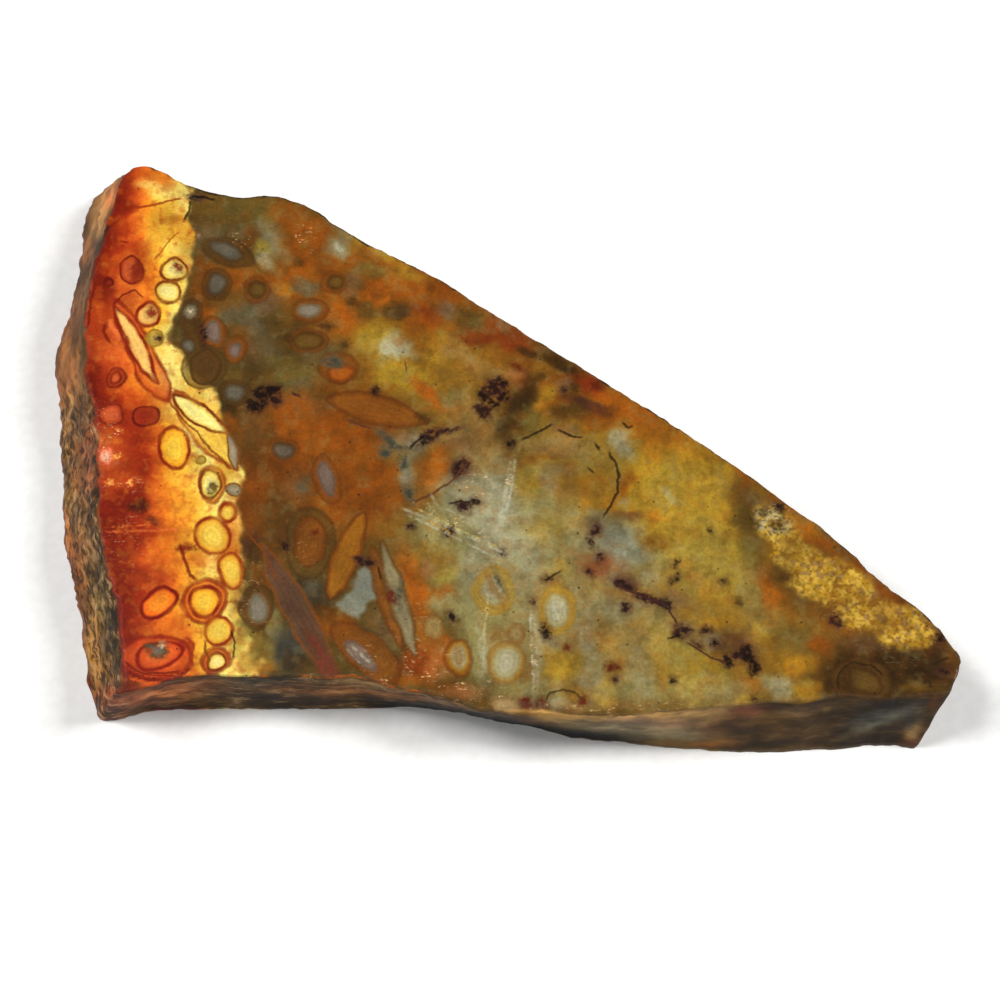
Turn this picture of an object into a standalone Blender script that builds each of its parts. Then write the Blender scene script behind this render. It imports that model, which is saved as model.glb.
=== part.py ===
"""A sawn slab of seam agate: one wedge of silicified roots with two flat saw cuts and a rough rind.

Metres, +Z up. The stone lies on its lower saw cut. The origin is on that cut, under the middle of the
stone's bounding box. +X runs along the stone from the rind to the narrow tip, +Y towards the long back edge.
"""

import math

import bpy
import numpy as np
from mathutils import Vector, noise

LENGTH = 0.090
THICKNESS = 0.007

# The photograph's perspective. It turns pixels of the 1000 x 1000 frame into points of the stone.
FRAME_CENTRE = 500.0
FOCAL_PIXELS = 1000.0 * 60.0 / 36.0
VIEW_ELEVATION = math.radians(60.0)

# Walls round the stone, anticlockwise from above. Each point pairs a pixel of the upper saw cut's edge
# with the pixel where the same wall meets the table.
FRONT_WALL = (
    ((113, 695), (101, 722)),
    ((122, 693), (110, 722)),
    ((134, 691), (124, 720)),
    ((148, 687), (137, 716)),
    ((156, 685), (143, 712)),
    ((182, 677), (180, 711)),
    ((205, 675), (205, 710)),
    ((240, 676), (240, 710)),
    ((270, 677), (270, 710)),
    ((304, 676), (303, 710)),
    ((326, 679), (325, 710)),
    ((354, 676), (353, 709)),
    ((372, 681), (370, 709)),
    ((396, 690), (394, 709)),
    ((421, 693), (420, 711)),
    ((442, 701), (441, 714)),
    ((466, 708), (464, 717)),
    ((484, 712), (482, 722)),
    ((500, 714), (498, 725)),
    ((526, 716), (524, 729)),
    ((552, 714), (550, 735)),
    ((575, 715), (572, 739)),
    ((600, 716), (596, 741)),
    ((628, 716), (622, 743)),
    ((656, 713), (650, 747)),
    ((698, 709), (692, 750)),
    ((722, 706), (714, 752)),
    ((740, 705), (732, 753)),
    ((761, 702), (754, 754)),
    ((782, 701), (778, 753)),
    ((803, 704), (800, 752)),
    ((823, 698), (820, 751)),
    ((846, 696), (840, 750)),
    ((864, 699), (858, 747)),
    ((892, 699), (880, 746)),
    ((922, 697), (896, 746)),
    ((938, 695), (906, 749)),
    ((948, 697), (915, 749)),
)
RIND_WALL = (
    ((131, 166), (115, 181)),
    ((126, 171), (107, 187)),
    ((121, 180), (98, 196)),
    ((114, 197), (90, 213)),
    ((107, 213), (85, 230)),
    ((103, 226), (82, 246)),
    ((97, 239), (80, 260)),
    ((91, 258), (78, 280)),
    ((88, 277), (73, 298)),
    ((85, 298), (65, 320)),
    ((82, 318), (57, 342)),
    ((81, 340), (52, 364)),
    ((81, 360), (53, 386)),
    ((81, 378), (56, 402)),
    ((84, 395), (57, 420)),
    ((88, 408), (59, 436)),
    ((90, 425), (60, 452)),
    ((93, 445), (63, 472)),
    ((94, 465), (63, 492)),
    ((92, 485), (64, 512)),
    ((92, 505), (65, 532)),
    ((95, 522), (67, 548)),
    ((98, 545), (71, 574)),
    ((103, 567), (74, 594)),
    ((106, 585), (74, 608)),
    ((110, 602), (79, 626)),
    ((114, 617), (81, 644)),
    ((117, 637), (82, 664)),
    ((119, 660), (85, 688)),
    ((120, 678), (90, 706)),
)
# Walls that the photograph doesn't show: pixels of the upper edge alone, and how far the foot is set in.
TIP_WALL = ((957, 675), (961, 665), (961, 659), (957, 651))
TIP_SET_IN = 0.0012
BACK_WALL = (
    (953, 646), (941, 628), (926, 614), (909, 600), (893, 588), (880, 578), (860, 559), (840, 542),
    (820, 524), (800, 512), (780, 496), (760, 481), (740, 468), (720, 455), (700, 441), (680, 428),
    (640, 402), (600, 378), (560, 353), (520, 328), (480, 304), (440, 278), (400, 258), (380, 248),
    (360, 239), (340, 226), (320, 212), (300, 201), (280, 196), (260, 194), (240, 196), (220, 193),
    (200, 188), (180, 179), (160, 169), (146, 165),
)
BACK_SET_IN = 0.0006

# How each wall was left: depth of its relief, width and drop of the worn rim above it.
FINISH = {
    "front": (0.00018, 0.00015, 0.0003),
    "tip": (0.00015, 0.00020, 0.0004),
    "back": (0.00030, 0.00020, 0.0005),
    "rind": (0.00080, 0.00055, 0.0008),
}
WALL_STEP = 0.0011
RING_HEIGHTS = (0.0, 0.08, 0.2, 0.34, 0.48, 0.62, 0.75, 0.86, 0.94, 0.98, 1.0)
MIDDLE_PIXEL = (430, 480)
FLAKES = (  # middle pixel, half width, extra rim width and extra drop of each flake scar on the front edge
    ((448, 700), 0.0034, 0.0008, 0.0007),
    ((528, 715), 0.0060, 0.0019, 0.0012),
    ((803, 704), 0.0018, 0.0003, 0.0005),
)
UNDERCUT = ((512, 723), 0.0085, 0.0022, 0.5)  # middle pixel, half width, depth, share of the height

# The skin of the walls: size of its ridges along and up the wall, their share of the relief against round
# lumps, and how sharply they stand out. The relief fades towards the foot and the rim.
RELIEF_ALONG, RELIEF_UP = 0.0026, 0.0014
RIDGE_SHARE, RIDGE_CREST = 0.55, 1.6
RELIEF_FADE_START, RELIEF_FADE_SPAN = 0.12, 0.76
# The worn rim narrows and widens round the stone at this size, and never below this share of its width.
RIM_NOISE_SIZE, RIM_LEAST = 0.0021, 0.6
# Depths at which the three noise fields are cut, so that they don't repeat each other.
RIDGE_SLICE, LUMP_SLICE, RIM_SLICE = 3.7, 9.1, 1.3
SHARP_EDGE = math.radians(35.0)

STONE_COLOUR = (0.42, 0.27, 0.09, 1.0)
STONE_ROUGHNESS = 0.35


def clear_scene():
    for obj in list(bpy.data.objects):
        bpy.data.objects.remove(obj)


def sight_slope(pixel):
    """x and y travelled along the line of sight through a pixel, per metre of climb."""
    across = (pixel[0] - FRAME_CENTRE) / FOCAL_PIXELS
    down = (pixel[1] - FRAME_CENTRE) / FOCAL_PIXELS
    sin_e, cos_e = math.sin(VIEW_ELEVATION), math.cos(VIEW_ELEVATION)
    climb = -sin_e - down * cos_e
    return np.array([across / climb, (cos_e - down * sin_e) / climb])


def eye_distance():
    """Distance from the eye to the table at the frame's centre that makes the stone LENGTH long."""
    tip = sight_slope(max(TIP_WALL))[0]
    rind = sight_slope(min(foot for _, foot in RIND_WALL))[0]
    return (LENGTH - tip * THICKNESS) / ((rind - tip) * math.sin(VIEW_ELEVATION))


def point_at(pixel, height):
    """The point seen at a pixel on the level plane at that height."""
    eye_height = eye_distance() * math.sin(VIEW_ELEVATION)
    eye = np.array([0.0, -eye_distance() * math.cos(VIEW_ELEVATION)])
    return eye + sight_slope(pixel) * (height - eye_height)


def towards(point, aim, distance):
    way = aim - point
    return point + way * distance / np.linalg.norm(way)


def wall_points():
    """Upper edge, foot and finish at each read-off point of the four walls."""
    middle = point_at(MIDDLE_PIXEL, 0.0)
    rows = [(point_at(a, THICKNESS), point_at(b, 0.0), FINISH["front"]) for a, b in FRONT_WALL]
    for pixels, set_in, name in ((TIP_WALL, TIP_SET_IN, "tip"), (BACK_WALL, BACK_SET_IN, "back")):
        for pixel in pixels:
            top = point_at(pixel, THICKNESS)
            rows.append((top, towards(top, middle, set_in), FINISH[name]))
    rows += [(point_at(a, THICKNESS), point_at(b, 0.0), FINISH["rind"]) for a, b in RIND_WALL]
    return rows


def outline():
    """The walls cut into steps of about WALL_STEP: arrays of upper edge, foot and finish."""
    tops, feet, finish = [], [], []
    rows = wall_points()
    for (top, foot, look), (next_top, next_foot, next_look) in zip(rows, rows[1:] + rows[:1]):
        count = max(1, math.ceil(np.linalg.norm(next_top - top) / WALL_STEP))
        for share in np.arange(count) / count:
            tops.append(top + (next_top - top) * share)
            feet.append(foot + (next_foot - foot) * share)
            finish.append(np.array(look) + (np.array(next_look) - np.array(look)) * share)
    return np.array(tops), np.array(feet), np.array(finish)


def inward_normals(loop):
    """Unit vectors square to an anticlockwise loop, pointing into it."""
    along = np.roll(loop, -1, axis=0) - np.roll(loop, 1, axis=0)
    square = np.column_stack((-along[:, 1], along[:, 0]))
    return square / np.linalg.norm(square, axis=1)[:, None]


def swell(distance, half_width):
    """1 in the middle of a scar, falling smoothly to 0 at its half width."""
    return np.clip(1.0 - (distance / half_width) ** 2, 0.0, 1.0) ** 2


def relief(point, height, distance_round):
    """Height of the rough skin from 0 to 1, drawn out along the wall."""
    place = Vector((distance_round / RELIEF_ALONG, height / RELIEF_UP, RIDGE_SLICE))
    ridges = 1.0 - abs(noise.noise(place)) * RIDGE_CREST
    lumps = 0.5 + 0.5 * noise.noise(Vector((*point / RELIEF_ALONG, LUMP_SLICE)))
    return min(1.0, max(0.0, RIDGE_SHARE * ridges + (1.0 - RIDGE_SHARE) * lumps))


def relief_fade(level):
    """Share of the relief left at a level of the wall from 0 at the foot to 1 at the rim."""
    return math.sin(math.pi * (RELIEF_FADE_START + level * RELIEF_FADE_SPAN)) ** 0.5


def rim_share(depth, drop):
    """Share of the rim's width that is missing at a depth under the face, as a quarter round."""
    rest = min(1.0, depth / drop)
    return 1.0 - math.sqrt(rest * (2.0 - rest))


def stone_rings():
    """Rings of points from the foot to the upper face. Every dent goes inwards from the ruled wall."""
    tops, feet, finish = outline()
    inward = inward_normals(tops)
    steps = np.linalg.norm(np.roll(tops, -1, axis=0) - tops, axis=1)
    distance_round = np.concatenate(([0.0], np.cumsum(steps)[:-1]))
    rim_width = finish[:, 1].copy()
    rim_drop = finish[:, 2].copy()
    for pixel, half_width, more_width, more_drop in FLAKES:
        scar = swell(np.linalg.norm(tops - point_at(pixel, THICKNESS), axis=1), half_width)
        rim_width += more_width * scar
        rim_drop += more_drop * scar
    pixel, half_width, depth, share = UNDERCUT
    hollow = depth * swell(np.linalg.norm(feet - point_at(pixel, 0.0), axis=1), half_width)
    rings = []
    for level in RING_HEIGHTS:
        ring = feet + (tops - feet) * level
        height = level * THICKNESS
        # Low down, under the hollow's share of the height, the wall turns in again.
        under = hollow * max(0.0, 1.0 - level / share)
        for i, point in enumerate(ring):
            rough = finish[i, 0] * (1.0 - relief(point, height, distance_round[i])) * relief_fade(level)
            wear = noise.noise(Vector((*tops[i] / RIM_NOISE_SIZE, RIM_SLICE)))
            worn = RIM_LEAST + (1.0 - RIM_LEAST) * wear
            rim = rim_width[i] * worn * rim_share(THICKNESS - height, rim_drop[i])
            ring[i] = point + inward[i] * (rough + rim + under[i])
        rings.append(np.column_stack((ring, np.full(len(ring), height))))
    return rings


def centred(rings):
    """The rings moved so that the origin is under the middle of their bounding box."""
    points = np.concatenate(rings)
    middle = (points.min(axis=0) + points.max(axis=0)) / 2.0
    return points - (middle[0], middle[1], 0.0)


def loft(points, ring_size):
    """One closed solid: quads between neighbouring rings and a flat face at each end."""
    levels = len(points) // ring_size
    faces = []
    for level in range(levels - 1):
        low, high = level * ring_size, (level + 1) * ring_size
        for i in range(ring_size):
            j = (i + 1) % ring_size
            faces.append((low + i, low + j, high + j, high + i))
    faces.append(tuple(reversed(range(ring_size))))
    faces.append(tuple(range((levels - 1) * ring_size, levels * ring_size)))
    mesh = bpy.data.meshes.new("agate_slab")
    mesh.from_pydata(points.tolist(), [], faces)
    mesh.validate()
    return mesh


def stone_material():
    material = bpy.data.materials.new("polished_agate")
    material.use_nodes = True
    shader = material.node_tree.nodes["Principled BSDF"]
    shader.inputs["Base Color"].default_value = STONE_COLOUR
    shader.inputs["Roughness"].default_value = STONE_ROUGHNESS
    shader.inputs["Metallic"].default_value = 0.0
    return material


def build_slab():
    rings = stone_rings()
    mesh = loft(centred(rings), len(rings[0]))
    mesh.materials.append(stone_material())
    mesh.shade_smooth()
    mesh.set_sharp_from_angle(angle=SHARP_EDGE)
    slab = bpy.data.objects.new("agate_slab", mesh)
    stone = bpy.data.collections.new("seam_agate_slab")
    bpy.context.scene.collection.children.link(stone)
    stone.objects.link(slab)
    return slab


clear_scene()
build_slab()
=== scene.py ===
import math

import bpy
import numpy as np
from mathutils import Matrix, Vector
from mathutils.geometry import delaunay_2d_cdt


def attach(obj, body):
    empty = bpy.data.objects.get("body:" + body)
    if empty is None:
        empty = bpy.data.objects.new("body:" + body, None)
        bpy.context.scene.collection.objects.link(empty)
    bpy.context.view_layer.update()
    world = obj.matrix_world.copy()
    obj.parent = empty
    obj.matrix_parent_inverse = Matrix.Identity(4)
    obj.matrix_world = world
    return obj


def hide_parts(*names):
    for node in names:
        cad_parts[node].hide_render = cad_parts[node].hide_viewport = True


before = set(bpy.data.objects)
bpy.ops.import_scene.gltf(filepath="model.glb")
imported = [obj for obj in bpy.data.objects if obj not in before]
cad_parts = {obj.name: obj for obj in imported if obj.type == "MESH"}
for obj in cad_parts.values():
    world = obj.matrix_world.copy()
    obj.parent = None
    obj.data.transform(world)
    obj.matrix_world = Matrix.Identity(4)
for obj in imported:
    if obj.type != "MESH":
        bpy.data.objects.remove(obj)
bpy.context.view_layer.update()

# The view. Marks and walls are placed by pixels of a 1000 x 1000 picture taken from here.
PICTURE = 1000.0
FRAME_CENTRE = PICTURE / 2
LENS, FILM = 60.0, 36.0
FOCAL_PIXELS = PICTURE * LENS / FILM
VIEW_ELEVATION = math.radians(60.0)
LENGTH = 0.090
THICKNESS = 0.007
# The middle of the stone's bounding box, measured from the point of the table that the view looks at.
STONE_MIDDLE = np.array([-0.00262, 0.00725])

# Walls round the stone, anticlockwise from above. Each point pairs a pixel of the upper saw cut's edge
# with the pixel where the same wall meets the table.
FRONT_WALL = (
    ((113, 695), (101, 722)), ((122, 693), (110, 722)), ((134, 691), (124, 720)),
    ((148, 687), (137, 716)), ((156, 685), (143, 712)), ((182, 677), (180, 711)),
    ((205, 675), (205, 710)), ((240, 676), (240, 710)), ((270, 677), (270, 710)),
    ((304, 676), (303, 710)), ((326, 679), (325, 710)), ((354, 676), (353, 709)),
    ((372, 681), (370, 709)), ((396, 690), (394, 709)), ((421, 693), (420, 711)),
    ((442, 701), (441, 714)), ((466, 708), (464, 717)), ((484, 712), (482, 722)),
    ((500, 714), (498, 725)), ((526, 716), (524, 729)), ((552, 714), (550, 735)),
    ((575, 715), (572, 739)), ((600, 716), (596, 741)), ((628, 716), (622, 743)),
    ((656, 713), (650, 747)), ((698, 709), (692, 750)), ((722, 706), (714, 752)),
    ((740, 705), (732, 753)), ((761, 702), (754, 754)), ((782, 701), (778, 753)),
    ((803, 704), (800, 752)), ((823, 698), (820, 751)), ((846, 696), (840, 750)),
    ((864, 699), (858, 747)), ((892, 699), (880, 746)), ((922, 697), (896, 746)),
    ((938, 695), (907, 750)), ((951, 696), (918, 752)),
)
RIND_WALL = (
    ((131, 166), (115, 176)), ((125, 168), (108, 184)), ((120, 174), (99, 190)),
    ((117, 182), (92, 198)), ((113, 195), (86, 210)), ((108, 210), (82, 226)), ((104, 226), (79, 244)),
    ((97, 241), (77, 262)), ((91, 260), (75, 281)), ((88, 277), (71, 299)), ((85, 298), (65, 320)),
    ((82, 318), (57, 342)), ((81, 340), (52, 364)), ((81, 360), (53, 386)), ((81, 378), (56, 402)),
    ((84, 395), (57, 420)), ((88, 408), (59, 436)), ((90, 425), (58, 452)), ((93, 445), (60, 472)),
    ((94, 465), (60, 492)), ((92, 485), (61, 512)), ((92, 505), (62, 532)), ((95, 522), (63, 548)),
    ((98, 545), (68, 574)), ((103, 567), (71, 594)), ((106, 585), (73, 608)), ((110, 602), (79, 626)),
    ((114, 617), (81, 644)), ((117, 637), (82, 664)), ((119, 660), (85, 688)), ((120, 678), (90, 706)),
)
# Walls that the photograph doesn't show: pixels of the upper edge alone, and how far the foot is set in.
TIP_WALL = ((959, 676), (963, 666), (963, 660), (958, 651))
TIP_SET_IN = 0.0012
BACK_WALL = (
    (955, 646), (942, 628), (926, 614), (909, 600), (893, 588), (880, 578), (860, 559), (840, 542),
    (820, 524), (800, 512), (780, 496), (760, 481), (740, 468), (720, 455), (700, 441), (680, 428),
    (640, 402), (600, 378), (560, 353), (520, 328), (480, 304), (440, 278), (400, 258), (380, 248),
    (360, 239), (340, 226), (320, 212), (300, 201), (280, 196), (260, 194), (240, 196), (220, 193),
    (200, 188), (180, 179), (160, 169), (146, 165),
)
BACK_SET_IN = 0.0006

# How each wall was left: depth of its relief, width and drop of the worn rim above it.
FINISH = {
    "front": (0.00018, 0.00015, 0.0003),
    "tip": (0.00015, 0.00020, 0.0004),
    "back": (0.00030, 0.00020, 0.0005),
    "rind": (0.00080, 0.00055, 0.0008),
}
TINTS = {
    "maroon": (132, 36, 10), "rust": (166, 60, 22), "ember": (220, 104, 40), "coral": (242, 134, 76),
    "orange": (244, 152, 48), "amber": (224, 158, 40), "yolk": (247, 200, 76), "cream": (250, 230, 136),
    "toffee": (142, 82, 24), "tawny": (170, 98, 26), "tangerine": (190, 108, 28),
    "ochre": (164, 122, 46), "mustard": (190, 152, 52), "straw": (214, 178, 82), "olive": (108, 86, 42),
    "moss": (128, 110, 56), "bronze": (94, 70, 32), "umber": (66, 46, 20), "soot": (38, 22, 20),
    "plum": (84, 50, 50), "mauve": (134, 106, 84), "fawn": (170, 138, 84), "pewter": (118, 110, 90),
    "ash": (164, 160, 132), "pearl": (190, 186, 156), "milk": (212, 212, 190), "sky": (164, 172, 160),
    "slate": (82, 82, 78), "brick": (150, 62, 22), "rose": (202, 142, 104), "sage": (168, 160, 110),
    "lime": (188, 164, 66), "bark": (150, 98, 54), "buff": (164, 134, 92), "flesh": (182, 116, 66),
    "russet": (178, 98, 56), "hide": (56, 40, 26), "clay": (112, 70, 48),
}

# The bright band beside the rind: its own tints, made bright enough to stand also for light glowing through
# the stone, a painted glow. Each row is a height in the picture and, along it, where the stone turns maroon,
# rust, ember, orange, yolk and cream, and where the band ends.
WARM_TINTS = ("maroon", "rust", "ember", "orange", "yolk", "cream")
BAND_ROWS = (
    (165, 108, 126, 142, 162, 186, 212, 200), (180, 116, 129, 142, 158, 178, 202, 194),
    (195, 116, 129, 137, 146, 156, 180, 189), (207, 118, 133, 139, 146, 156, 184, 187),
    (222, 106, 117, 128, 140, 152, 190, 184), (236, 104, 114, 126, 140, 152, 185, 196),
    (250, 110, 120, 132, 142, 152, 190, 195), (270, 98, 110, 124, 150, 166, 195, 191),
    (290, 96, 108, 122, 146, 160, 185, 186), (310, 88, 100, 120, 146, 160, 178, 178),
    (326, 80, 96, 118, 144, 156, 168, 171), (340, 82, 98, 118, 142, 153, 164, 168),
    (350, 84, 100, 118, 140, 150, 160, 181), (370, 96, 108, 124, 144, 154, 164, 188),
    (388, 92, 100, 114, 134, 150, 166, 213), (402, 100, 118, 136, 146, 154, 170, 217),
    (420, 118, 140, 150, 156, 162, 172, 221), (440, 118, 148, 157, 168, 180, 192, 232),
    (460, 118, 146, 153, 164, 186, 210, 239), (480, 120, 143, 151, 162, 176, 215, 241),
    (500, 118, 142, 152, 166, 190, 215, 239), (520, 112, 142, 154, 168, 196, 225, 239),
    (540, 112, 140, 154, 170, 190, 225, 240), (560, 104, 118, 140, 166, 186, 215, 243),
    (580, 118, 150, 166, 178, 192, 222, 238), (600, 118, 140, 156, 172, 196, 225, 236),
    (620, 116, 138, 150, 172, 205, 226, 240), (640, 114, 130, 148, 178, 210, 226, 250),
    (660, 112, 130, 150, 185, 210, 222, 256), (690, 112, 130, 150, 185, 210, 222, 258),
)
BAND_EDGE_SOFT = 3.0
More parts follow.
